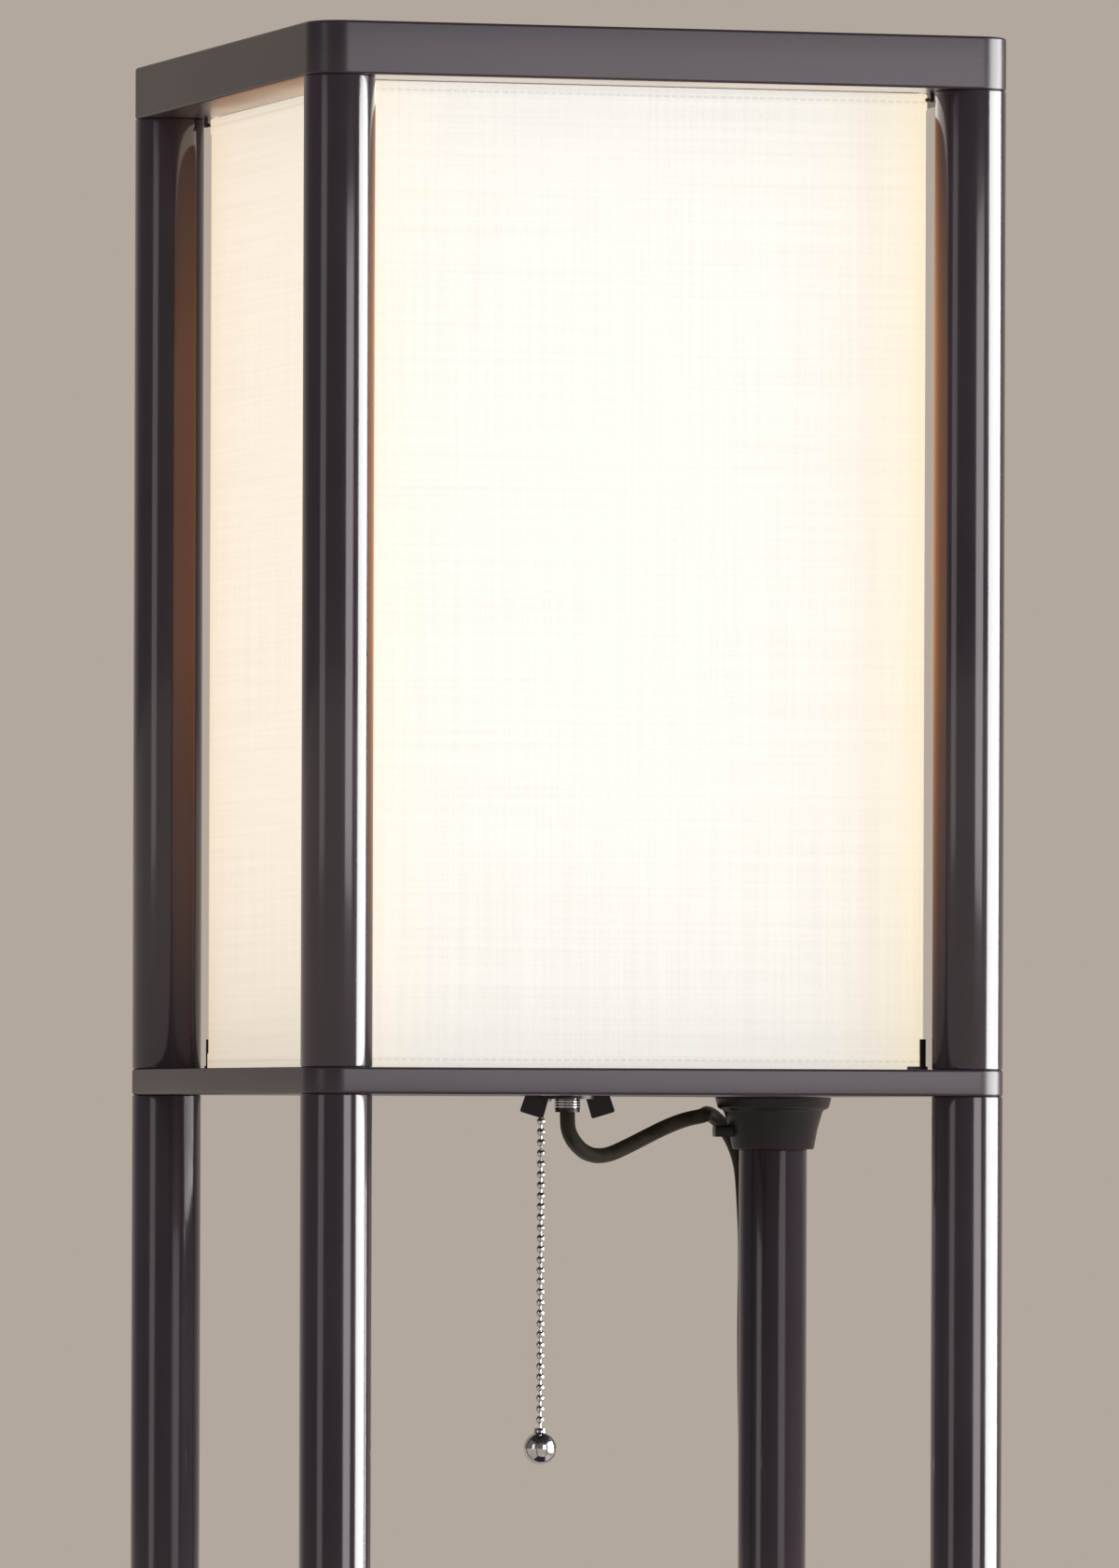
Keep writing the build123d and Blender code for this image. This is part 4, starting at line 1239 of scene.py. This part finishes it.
# ================================================================== fitting, socket, switch and bulb
@dataclass
class Fitting:
    """What goes through the light panel, the socket above it and the bulb."""

    nipple_radius: float = 0.00485
    nipple_bore: float = 0.0032
    nipple_low: float = 1.2162
    nipple_high: float = 1.2445
    thread_pitch: float = 0.0010
    thread_depth: float = 0.0004
    cap_low: float = 1.2357
    cap_height: float = 0.016
    shell_radius: float = 0.0185
    shell_wall: float = 0.0006
    shell_height: float = 0.039
    cap_mouth: float = 0.00495
    cap_flat: float = 0.011
    cap_rounding: float = 0.0012
    groove_depth: float = 0.0003
    groove_width: float = 0.0009
    bulb_seat: float = 1.2682
    cap_core: float = 0.0123
    cap_ridge: float = 0.0007
    bulb_thread_from: float = 0.0045
    bulb_thread_pitch: float = 0.004
    neck: float = 0.0132
    globe: float = 0.030
    glass_low: float = 1.2927
    shoulder_centre: Pair = (0.039219, 1.3027)
    shoulder_radius: float = 0.026019
    globe_rise: float = 0.040
    globe_meets: float = 134.43
    spring_span: Pair = (1.2576, 1.2711)
    spring_radius: float = 0.0031
    spring_wire: float = 0.00035
    spring_turns: int = 6
    pull_travel: float = 0.008

    def nipple(self) -> Surface:
        """The threaded tube: its outside radius dips by the thread's depth once a pitch, as a cosine.

        Returns:
            The vertices and the four-sided faces.
        """
        z = np.arange(self.nipple_low, self.nipple_high, self.thread_pitch / 6)
        dip = self.thread_depth * (0.5 - 0.5 * np.cos(2 * np.pi * (z - self.nipple_low) / self.thread_pitch))
        outside = list(zip(self.nipple_radius - dip, z))
        bore = self.nipple_bore
        profile = [(bore, self.nipple_low), *outside, (bore, self.nipple_high), (bore, self.nipple_low)]
        return turned(profile, 48, FITTING_LINE)

    def socket_cap(self) -> Surface:
        """The cap's flared shell, rounded at each bend, with its wall's thickness.

        Returns:
            The vertices and the four-sided faces.
        """
        r, w, z, h = self.shell_radius, self.shell_wall, self.cap_low, self.cap_height
        mouth, flat = self.cap_mouth, self.cap_flat
        outline = [
            (mouth, z), (flat, z), (r, z + h / 2), (r, z + h), (r - w, z + h),
            (r - w, z + h / 2 + w / 2), (flat - w / 2, z + w), (mouth, z + w),
        ]
        return turned(eased(outline, self.cap_rounding), 72, FITTING_LINE)

    def socket_shell(self) -> Surface:
        """The straight shell, whose two shallow rolled grooves are d exp(-((z - z0) / w)^2) deep.

        Returns:
            The vertices and the four-sided faces.
        """
        r, w, z, h = self.shell_radius, self.shell_wall, self.cap_low + self.cap_height, self.shell_height
        rise = np.linspace(0, h, 79)
        depth, width = self.groove_depth, self.groove_width
        groove = sum(depth * np.exp(-(((rise - at) / width) ** 2)) for at in (0.004, h - 0.005))
        outer = list(zip(r - groove, z + rise))
        inner = list(zip((r - w) - groove[::-1], z + rise[::-1]))
        return turned([*outer, *inner, outer[0]], 72, FITTING_LINE)

    def bulb_cap(self) -> Surface:
        """The bulb's cap: contact tip, cone and a thread whose ridges swell as a raised cosine.

        Returns:
            The vertices and the four-sided faces.
        """
        seat, core = self.bulb_seat, self.cap_core
        z = np.linspace(seat + self.bulb_thread_from, self.glass_low, 121)
        turn = (z - seat - self.bulb_thread_from) / self.bulb_thread_pitch
        ridge = self.cap_ridge * (0.5 - 0.5 * np.cos(2 * np.pi * turn)) ** 1.5
        tip = [(0.0, seat), (0.0032, seat), (0.0038, seat + 0.0003), (0.0040, seat + 0.0009), (0.0040, seat + 0.002)]
        return turned([*tip, *zip(core + ridge, z), (0.0, self.glass_low)], 64, FITTING_LINE)

    def bulb_envelope(self) -> Surface:
        """The glass: a straight neck, a shoulder arc and a round globe, tangent to each other.

        Returns:
            The vertices and the four-sided faces.
        """
        low, neck, meets = self.glass_low, self.neck, self.globe_meets
        foot = [(0.0, low), (neck - 0.001, low), (neck, low + 0.0008), (neck, low + 0.005)]
        shoulder = arc(self.shoulder_radius, self.shoulder_centre, 180, meets, 16)
        globe = arc(self.globe, (0.0, self.shoulder_centre[1] + self.globe_rise), meets - 180, 90, 40)
        return turned([*foot, *shoulder, *globe[1:]], 96, FITTING_LINE)

    def build_spring(self, finish: Material) -> None:
        """Builds the return spring, a helix (r cos a, r sin a, rise a), which shortens as the chain is pulled.

        Args:
            finish: the spring's material.
        """
        foot, top = self.spring_span
        low, high = foot + self.spring_wire, top - self.spring_wire
        turn = np.linspace(0, self.spring_turns, self.spring_turns * 28 + 1)
        x = FITTING_X + self.spring_radius * np.cos(2 * np.pi * turn)
        y = CHAIN_Y + self.spring_radius * np.sin(2 * np.pi * turn)
        path = np.column_stack([x, y, low + (high - low) * turn / self.spring_turns])
        surface = carried(path, self.spring_wire, 12, closed=False)
        spring = make_piece("return_spring_coil", [surface], finish, "return_spring", sharp=60)
        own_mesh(spring)

    def build(self, finishes: Finishes) -> None:
        """Builds the round pieces and dresses the fitting's other nodes.

        Args:
            finishes: every finish of the lamp.
        """
        brass, bulb = finishes.brass, Body.BULB
        make_piece("nipple_thread", [self.nipple()], finishes.chrome, "lamp_nipple", 60, close=False)
        make_piece("socket_cap_cup", [self.socket_cap()], brass, "socket_cap", 40, close=False)
        make_piece("socket_shell_tube", [self.socket_shell()], brass, "socket_shell", 40, close=False)
        make_piece("bulb_screw_cap", [self.bulb_cap()], finishes.aluminium, "bulb_base", 50, bulb)
        make_piece("bulb_envelope", [self.bulb_envelope()], finishes.glass, "bulb_glass", 60, bulb)
        dress_nodes(finishes.plastic, "nipple_bushing", "wing_nut", "socket_core", "switch_housing")
        dress_nodes(finishes.zinc, "panel_washer", "lock_nut")
        dress_nodes(finishes.contact, "terminal_screws", "centre_contact", "screw_shell")
        dress_nodes(finishes.rod, "pull_rod")
        self.build_spring(finishes.zinc)


@dataclass
class PullChain:
    """The bead chain, its guide in the panel and its ball."""

    bead_radius: float = 0.0016
    pitch: float = 0.0039
    link_radius: float = 0.00045
    upper_top: float = 1.24675
    upper_count: int = 8
    upper_link: Pair = (1.21745, 1.2525)
    swivel_bead: float = 1.21555
    swivel_link: Pair = (1.21355, 1.21555)
    hanging_top: float = 1.21165
    hanging_count: int = 29
    hanging_link: Pair = (1.09675, 1.21165)
    ball_centre: float = 1.09195
    ball_radius: float = 0.006
    neck_radius: float = 0.0022
    neck_top: float = 1.09945
    link_bore: float = 0.00055
    bore_depth: float = 0.003
    guide_bore: float = 0.0023
    guide_sleeve: float = 0.0038
    guide_lip: float = 0.005
    guide_flange: float = 0.006
    guide_below: float = 0.002
    lip_thickness: float = 0.001
    flange_thickness: float = 0.0015
    guide_rounding: float = 0.0003

    def string(self, top: float, count: int, link: Pair) -> list[Surface]:
        """Beads one pitch apart down the chain's line, and the wire that joins them.

        Args:
            top: the highest bead's height.
            count: how many beads.
            link: the heights between which the wire shows.

        Returns:
            One surface for each bead, and the wire.
        """
        bead = arc(self.bead_radius, (0.0, 0.0), -90, 90, 10)
        beads = [turned(bead, 16, (FITTING_X, CHAIN_Y, top - step * self.pitch)) for step in range(count)]
        r, (low, high) = self.link_radius, link
        return [*beads, turned([(0.0, low), (r, low), (r, high), (0.0, high)], 10, CHAIN_LINE)]

    def ball(self) -> Surface:
        """The ball, its short neck and the bore that takes the last link.

        Returns:
            The vertices and the four-sided faces.
        """
        meet = math.degrees(math.acos(self.neck_radius / self.ball_radius))
        globe = arc(self.ball_radius, (0.0, self.ball_centre), -90, meet - 3, 40)
        foot = self.ball_centre + self.ball_radius * math.sin(math.radians(meet))
        r, top, bore, end = self.neck_radius, self.neck_top, self.link_bore, self.neck_top - self.bore_depth
        neck = [
            (r + 0.0001, foot + 0.0001), (r, foot + 0.0004), (r, top - 0.0003), (r - 0.0003, top),
            (bore, top), (bore, end), (0.0, end),
        ]
        return turned([*globe, *neck], 64, CHAIN_LINE)

    def guide(self) -> Surface:
        """The guide's sleeve with its lip under the panel and its flange on top.

        Returns:
            The vertices and the four-sided faces.
        """
        bore, sleeve, lip, flange = self.guide_bore, self.guide_sleeve, self.guide_lip, self.guide_flange
        low, under, top = LIGHT_PANEL_Z - self.guide_below, LIGHT_PANEL_Z, PANEL_TOP_Z
        lip_low, flange_top = under - self.lip_thickness, top + self.flange_thickness
        outline = [
            (bore, low), (sleeve, low), (sleeve, lip_low), (lip, lip_low), (lip, under),
            (sleeve, under), (sleeve, top), (flange, top), (flange, flange_top), (bore, flange_top),
        ]
        return turned(eased(outline, self.guide_rounding, steps=3), 48, CHAIN_LINE)

    def build(self, finishes: Finishes) -> None:
        """Builds the chain's runs on their bodies, the ball and the guide.

        Args:
            finishes: every finish of the lamp.
        """
        runs = {
            "chain_upper_run": (Body.PULL, self.upper_top, self.upper_count, self.upper_link),
            "chain_swivel_bead": (Body.SWIVEL, self.swivel_bead, 1, self.swivel_link),
            "pull_chain": (Body.HANGING, self.hanging_top, self.hanging_count, self.hanging_link),
        }
        chrome, black = finishes.chrome, finishes.plastic
        for node, (body, top, count, link) in runs.items():
            make_piece(f"{node}_beads", self.string(top, count, link), chrome, node, 60, body)
        make_piece("chain_ball_drop", [self.ball()], chrome, "chain_ball", 50, Body.HANGING)
        make_piece("chain_guide_sleeve", [self.guide()], black, "chain_guide", 50, close=False)


# ================================================================== the cord
@dataclass
class Cord:
    """The cord from the fitting over the collar, down behind the tower and into its coil."""

    length: float = 2.75
    coil_centre: Pair = (0.062, 0.214)
    coil_outer_radius: float = 0.042
    coil_turns: int = 3
    coil_pitch: float = 0.0062
    first_layer_z: float = 0.0030
    layer_rise: float = 0.0061
    steps_per_turn: int = 16
    collar_rounding: float = 0.0007
    nub_turn: float = 171.0
    nub_reach: float = 0.0181
    nub_drop: float = 0.0127
    nub_half: Pair = (0.0043, 0.0045)
    nub_corner: float = 0.2
    relief_length: float = 0.022
    relief_radii: Pair = (0.0034, 0.0052)
    relief_step: float = 0.0005
    rib_depth: float = 0.0004
    rib_pitch: float = 0.0040
    rib_span: Pair = (0.003, 0.020)
    plug_place: Pair = (0.0200, 0.2084)

    @property
    def top_layer_z(self) -> float:
        """Height of the middle of the coil's upper layer, where the plug lies too."""
        return self.first_layer_z + self.layer_rise

    def route(self) -> list[Point]:
        """The points of the route that isn't coiled, given one by one.

        Returns:
            The points, from the fitting to the floor.
        """
        return [
            (0.0025, 0.0000, 1.2150),
            (0.0025, 0.0000, 1.2106),
            (0.0036, 0.0015, 1.2076),
            (0.0063, 0.0050, 1.2044),
            (0.0119, 0.0124, 1.2008),
            (0.0194, 0.0224, 1.1990),
            (0.0284, 0.0344, 1.1994),
            (0.0398, 0.0496, 1.2024),
            (0.0531, 0.0671, 1.2064),
            (0.0663, 0.0847, 1.2102),
            (0.0789, 0.1015, 1.2129),
            (0.0897, 0.1159, 1.2140),
            (0.0946, 0.1276, 1.2154),
            (0.1016, 0.1357, 1.2125),
            (0.1082, 0.1396, 1.2055),
            (0.1118, 0.1398, 1.1960),
            (0.1116, 0.1362, 1.1850),
            (0.1123, 0.1350, 1.1650),
            (0.1124, 0.1374, 1.1300),
            (0.1142, 0.1394, 1.0720),
            (0.1156, 0.1414, 0.9900),
            (0.1174, 0.1426, 0.9060),
            (0.1180, 0.1446, 0.8220),
            (0.1198, 0.1452, 0.7380),
            (0.1202, 0.1472, 0.6540),
            (0.1194, 0.1484, 0.5700),
            (0.1206, 0.1480, 0.4860),
            (0.1196, 0.1466, 0.4020),
            (0.1204, 0.1454, 0.3180),
            (0.1192, 0.1448, 0.2360),
            (0.1190, 0.1430, 0.1600),
            (0.1174, 0.1422, 0.0960),
            (0.1156, 0.1446, 0.0480),
            (0.1114, 0.1526, 0.0170),
            (0.1068, 0.1680, 0.0046),
            (0.1040, 0.1876, 0.0030),
            (0.1040, 0.2084, 0.0030),
        ]

    def coil(self) -> list[Point]:
        """Points of the coil: in on the floor, up one layer where it reverses, and out on top.

        The radius shrinks by one pitch a turn and grows again; control points stand out by the
        secant of half a step, 1 / cos(pi / n), so that the spline between them keeps the radius.

        Returns:
            The coil's control points.
        """
        half_way = self.coil_turns + 0.25
        total = 2 * half_way
        turn = np.arange(1, int(round(total * self.steps_per_turn)) + 1) / self.steps_per_turn
        inward = np.where(turn < half_way, turn, total - turn)
        climb = np.clip((turn - (half_way - 0.25)) * 2, 0, 1)
        stand_out = 1 / math.cos(math.pi / self.steps_per_turn)
        radius = (self.coil_outer_radius - inward * self.coil_pitch) * stand_out
        angle = turn * 2 * np.pi
        x = self.coil_centre[0] + radius * np.cos(angle)
        y = self.coil_centre[1] + radius * np.sin(angle)
        z = self.first_layer_z + climb * self.layer_rise
        return list(zip(x.tolist(), y.tolist(), z.tolist()))

    def collar(self) -> list[Surface]:
        """The flared collar on the rear right post, and the nub that the cord goes over.

        Returns:
            The flare and the nub.
        """
        x, y = CORNERS["rear_right"]
        outline = [
            (0.0128, 0.0), (0.0218, 0.0), (0.0208, -0.0039), (0.0186, -0.0049),
            (0.0166, -0.0118), (0.0152, -0.0194), (0.0128, -0.0194),
        ]
        flare = turned(eased(outline, self.collar_rounding), 96, (x, y, LIGHT_PANEL_Z))
        rounding = [(0.0015, 0.0), (0.0018, 0.0001), (0.0021, 0.0004)]
        levels = [*((-z, inset) for z, inset in reversed(rounding)), *rounding]
        half_long, half_wide = self.nub_half
        square = rounded_square(1.0, self.nub_corner, 6)
        nub = np.array([at_height(square * [half_long - inset, half_wide - inset], z) for z, inset in levels])
        cos, sin = math.cos(math.radians(self.nub_turn)), math.sin(math.radians(self.nub_turn))
        out, across = nub[..., 0] + self.nub_reach, nub[..., 1]
        level = LIGHT_PANEL_Z - self.nub_drop + nub[..., 2]
        spun = np.stack([x + out * cos - across * sin, y + out * sin + across * cos, level], axis=-1)
        return [flare, ringed(spun)]

    def plug(self) -> Surface:
        """The plug: a ribbed tapering relief that swells into a rounded body.

        A rib is where sin(2 pi d / pitch) is under -0.2, at a distance d along the relief.

        Returns:
            The vertices and the four-sided faces.
        """
        d = np.arange(0.0, self.relief_length + 0.0001, self.relief_step)
        (thin, thick), (first, last) = self.relief_radii, self.rib_span
        taper = thin + (thick - thin) * d / self.relief_length
        rib = self.rib_depth * (np.sin(2 * np.pi * d / self.rib_pitch) < -0.2) * (d > first) * (d < last)
        relief = [(a, r, r, r) for a, r in zip(d, taper - rib)]
        body = [
            (0.0222, 0.0090, 0.0068, 0.0040), (0.0228, 0.0108, 0.0079, 0.0040), (0.0240, 0.0117, 0.0086, 0.0040),
            (0.0260, 0.0120, 0.0089, 0.0040), (0.0300, 0.0120, 0.0089, 0.0040), (0.0460, 0.0120, 0.0089, 0.0040),
            (0.0486, 0.0119, 0.0088, 0.0039), (0.0496, 0.0114, 0.0083, 0.0036), (0.0500, 0.0106, 0.0075, 0.0030),
            (0.0500, 0.0080, 0.0050, 0.0020),
        ]
        return stations_surface([*relief, *body], (*self.plug_place, self.top_layer_z), 8)

    def build(self, finishes: Finishes) -> None:
        """Builds the cord as one NURBS spline, its collar and its plug.

        Args:
            finishes: every finish of the lamp.
        """
        black = finishes.plastic
        collar = make_piece("cord_collar_flare", self.collar(), black, "cord_collar", sharp=40)
        plug = make_piece("plug_moulding", [self.plug()], black, "plug_body", sharp=40)
        x, y = self.coil_centre
        end = (x - self.coil_outer_radius, y - CORD_DIAMETER, self.top_layer_z)
        points = [*self.route(), *self.coil(), end]
        curve = bpy.data.curves.new("cord_line", "CURVE")
        curve.dimensions = "3D"
        curve.bevel_depth = CORD_DIAMETER / 2
        curve.bevel_resolution = 5
        curve.resolution_u = 8
        curve.use_fill_caps = True
        spline = curve.splines.new("NURBS")
        spline.points.add(len(points) - 1)
        spline.points.foreach_set("co", np.column_stack([points, np.ones(len(points))]).ravel())
        spline.order_u = 3
        spline.use_endpoint_u = True
        curve.materials.append(finishes.cord)
        cord = placed("lamp_cord", curve)
        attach(cord, Body.STAND.value)
        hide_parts("cord_run", "cord_coil")
        log.info("lamp_cord: %d points", len(points))
        dress_nodes(finishes.cord, "cord_in_fitting")
        dress_nodes(finishes.contact, "plug_blades")


# ================================================================== floor, light and camera
@dataclass(frozen=True)
class PanelLight:
    """A rectangular light that faces the lamp bay, with matte and gloss apart where it says so."""

    name: str
    place: Point
    size: Pair
    radiance: float
    colour: Colour
    reach: LightReach = LightReach.ALL
    aim_z: float = 1.30

    def build(self) -> Object:
        """Adds the light, square to the line to the lamp bay; its power is radiance times pi times area.

        Returns:
            The light.
        """
        data = bpy.data.lights.new(self.name, "AREA")
        data.shape = "RECTANGLE"
        data.size, data.size_y = self.size
        data.energy = self.radiance * math.pi * self.size[0] * self.size[1]
        data.color = self.colour
        light = placed(self.name, data)
        light.location = self.place
        x, y, z = np.array([0.0, 0.0, self.aim_z]) - np.array(self.place)
        light.rotation_euler = (math.atan2(math.hypot(x, y), -z), 0.0, math.atan2(y, x) - math.pi / 2)
        light.visible_diffuse = self.reach is not LightReach.GLOSS
        light.visible_glossy = self.reach is not LightReach.MATTE
        return light


LIGHTS = (
    PanelLight("right_matte", (1.62, -0.54, 1.32), (1.45, 1.10), 4.2, (1.0, 0.98, 0.98), LightReach.MATTE),
    PanelLight("right_gloss", (1.55, -0.52, 1.32), (1.45, 1.60), 12.5, (1.0, 1.0, 1.0), LightReach.GLOSS),
    PanelLight("front_soft", (0.86, -2.62, 1.55), (1.10, 1.20), 0.9, (1.0, 0.96, 0.98)),
    PanelLight("front_gloss", (0.84, -2.55, 1.54), (1.10, 1.40), 2.6, (1.0, 0.93, 1.0), LightReach.GLOSS),
    PanelLight("left_soft", (-2.6, -1.2, 1.7), (0.9, 1.6), 0.9, (1.0, 0.97, 0.97)),
)


@dataclass(frozen=True)
class Studio:
    """A plain pale floor and wall colour, soft light and the photograph's camera."""

    backdrop: Colour = (0.450, 0.391, 0.340)
    room: Colour = (0.13, 0.12, 0.125)
    ambient: Colour = (0.50, 0.49, 0.50)
    wall_in_gloss: float = 0.8
    gloss_turn: Pair = (0.35, 0.8)
    floor: Colour = (0.62, 0.58, 0.54)
    floor_reach: float = 60.0
    floor_fade: Pair = (1.1, 2.7)
    camera_place: Point = (-1.4861, -5.0504, PANEL_TOP_Z - 0.0232)
    camera_turn: float = math.radians(16.392)
    camera_roll: float = math.radians(0.195)
    lens: float = 332.3
    shift_y: float = 0.2228

    def build_camera(self) -> None:
        """Places the camera level, at the photograph's angle, with its shift and slight roll."""
        data = bpy.data.cameras.new("photo_camera")
        data.lens = self.lens
        data.sensor_width = 36.0
        data.shift_y = self.shift_y
        data.clip_end = 100
        camera = placed("photo_camera", data)
        camera.location = self.camera_place
        camera.rotation_euler = (math.pi / 2, 0.0, -self.camera_turn)
        camera.rotation_euler.rotate_axis("Z", self.camera_roll)
        bpy.context.scene.camera = camera

    def build_floor(self) -> None:
        """Lays the plain floor, a wide disc that fades into the wall's colour far from the lamp."""
        angle = np.linspace(0, 2 * np.pi, 96, endpoint=False)
        rim = np.column_stack([np.cos(angle), np.sin(angle), 0 * angle]) * self.floor_reach
        mesh = bpy.data.meshes.new("floor")
        mesh.from_pydata(rim.tolist(), [], [tuple(range(len(rim)))])
        floor = placed("floor", mesh)
        material, n, shader = start_material("pale_floor", Base_Color=(*self.floor, 1.0), Roughness=0.9)
        length = n.add("ShaderNodeVectorMath", operation="LENGTH")
        n.join(n.add("ShaderNodeTexCoord").outputs["Object"], length.inputs[0])
        wall = n.add("ShaderNodeEmission", Color=(*self.backdrop, 1.0), Strength=1.0)
        blend = n.add("ShaderNodeMixShader")
        ways = (n.spread(length.outputs["Value"], *self.floor_fade), shader.outputs[0], wall.outputs[0])
        for index, way in enumerate(ways):
            n.join(way, blend.inputs[index])
        n.join(blend.outputs[0], material.node_tree.nodes["Material Output"].inputs["Surface"])
        mesh.materials.append(material)

    def build_world(self) -> None:
        """Lights from all round; the camera sees the plain wall colour.

        Gloss sees the wall behind the lamp and the darker room elsewhere: the mix goes by how far
        a direction turns from straight behind, as seen from the front.
        """
        world = bpy.data.worlds.new("studio")
        world.use_nodes = True
        world.node_tree.nodes.clear()
        n = Nodes(world.node_tree)
        path = n.add("ShaderNodeLightPath")
        behind = n.add("ShaderNodeVectorMath", operation="DOT_PRODUCT")
        n.join(n.add("ShaderNodeTexCoord").outputs["Generated"], behind.inputs[0])
        behind.inputs[1].default_value = (math.sin(self.camera_turn), math.cos(self.camera_turn), 0.0)
        on_wall = n.spread(behind.outputs["Value"], *self.gloss_turn)
        in_gloss = n.mix(on_wall, self.room, dimmed(self.backdrop, self.wall_in_gloss))
        plain = n.math("MAXIMUM", path.outputs["Is Camera Ray"], path.outputs["Is Transmission Ray"])
        background = n.add("ShaderNodeBackground", Strength=1.0)
        matte_or_gloss = n.mix(path.outputs["Is Glossy Ray"], self.ambient, in_gloss)
        n.join(n.mix(plain, matte_or_gloss, self.backdrop), background.inputs["Color"])
        out = n.add("ShaderNodeOutputWorld")
        n.join(background.outputs[0], out.inputs["Surface"])
        bpy.context.scene.world = world

    def flag_off(self, light: Object, pieces: Sequence[str]) -> None:
        """Keeps a light off some pieces, as a studio's flag does.

        Args:
            light: the light.
            pieces: the pieces' names.
        """
        flagged = bpy.data.collections.new(f"flagged_from_{light.name}")
        for name in pieces:
            flagged.objects.link(bpy.data.objects[name])
        light.light_linking.receiver_collection = flagged
        for entry in flagged.collection_objects:
            entry.light_linking.link_state = "EXCLUDE"

    def build_lights(self) -> None:
        """Adds the soft lights, and keeps those for gloss alone off the rear posts, the collar and the cord."""
        rear = [f"{tier}_post_{corner}_tube" for tier in TIERS for corner in ("rear_left", "rear_right")]
        for panel in LIGHTS:
            light = panel.build()
            if panel.reach is LightReach.GLOSS:
                self.flag_off(light, [*rear, "cord_collar_flare", "lamp_cord"])

    def build(self) -> None:
        """Builds the camera, the floor and the world."""
        self.build_camera()
        self.build_floor()
        self.build_world()
        bpy.context.scene.view_settings.view_transform = "Standard"
        log.info("studio built")


def main() -> None:
    """Builds every sub-assembly in order."""
    logging.basicConfig(level=logging.INFO, format="%(message)s")
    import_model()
    finishes = Finishes()
    studio = Studio()
    studio.build()
    Cord().build(finishes)
    Tower().build(finishes)
    Shade().build(finishes)
    Fitting().build(finishes)
    PullChain().build(finishes)
    studio.build_lights()


if __name__ == "__main__":
    main()
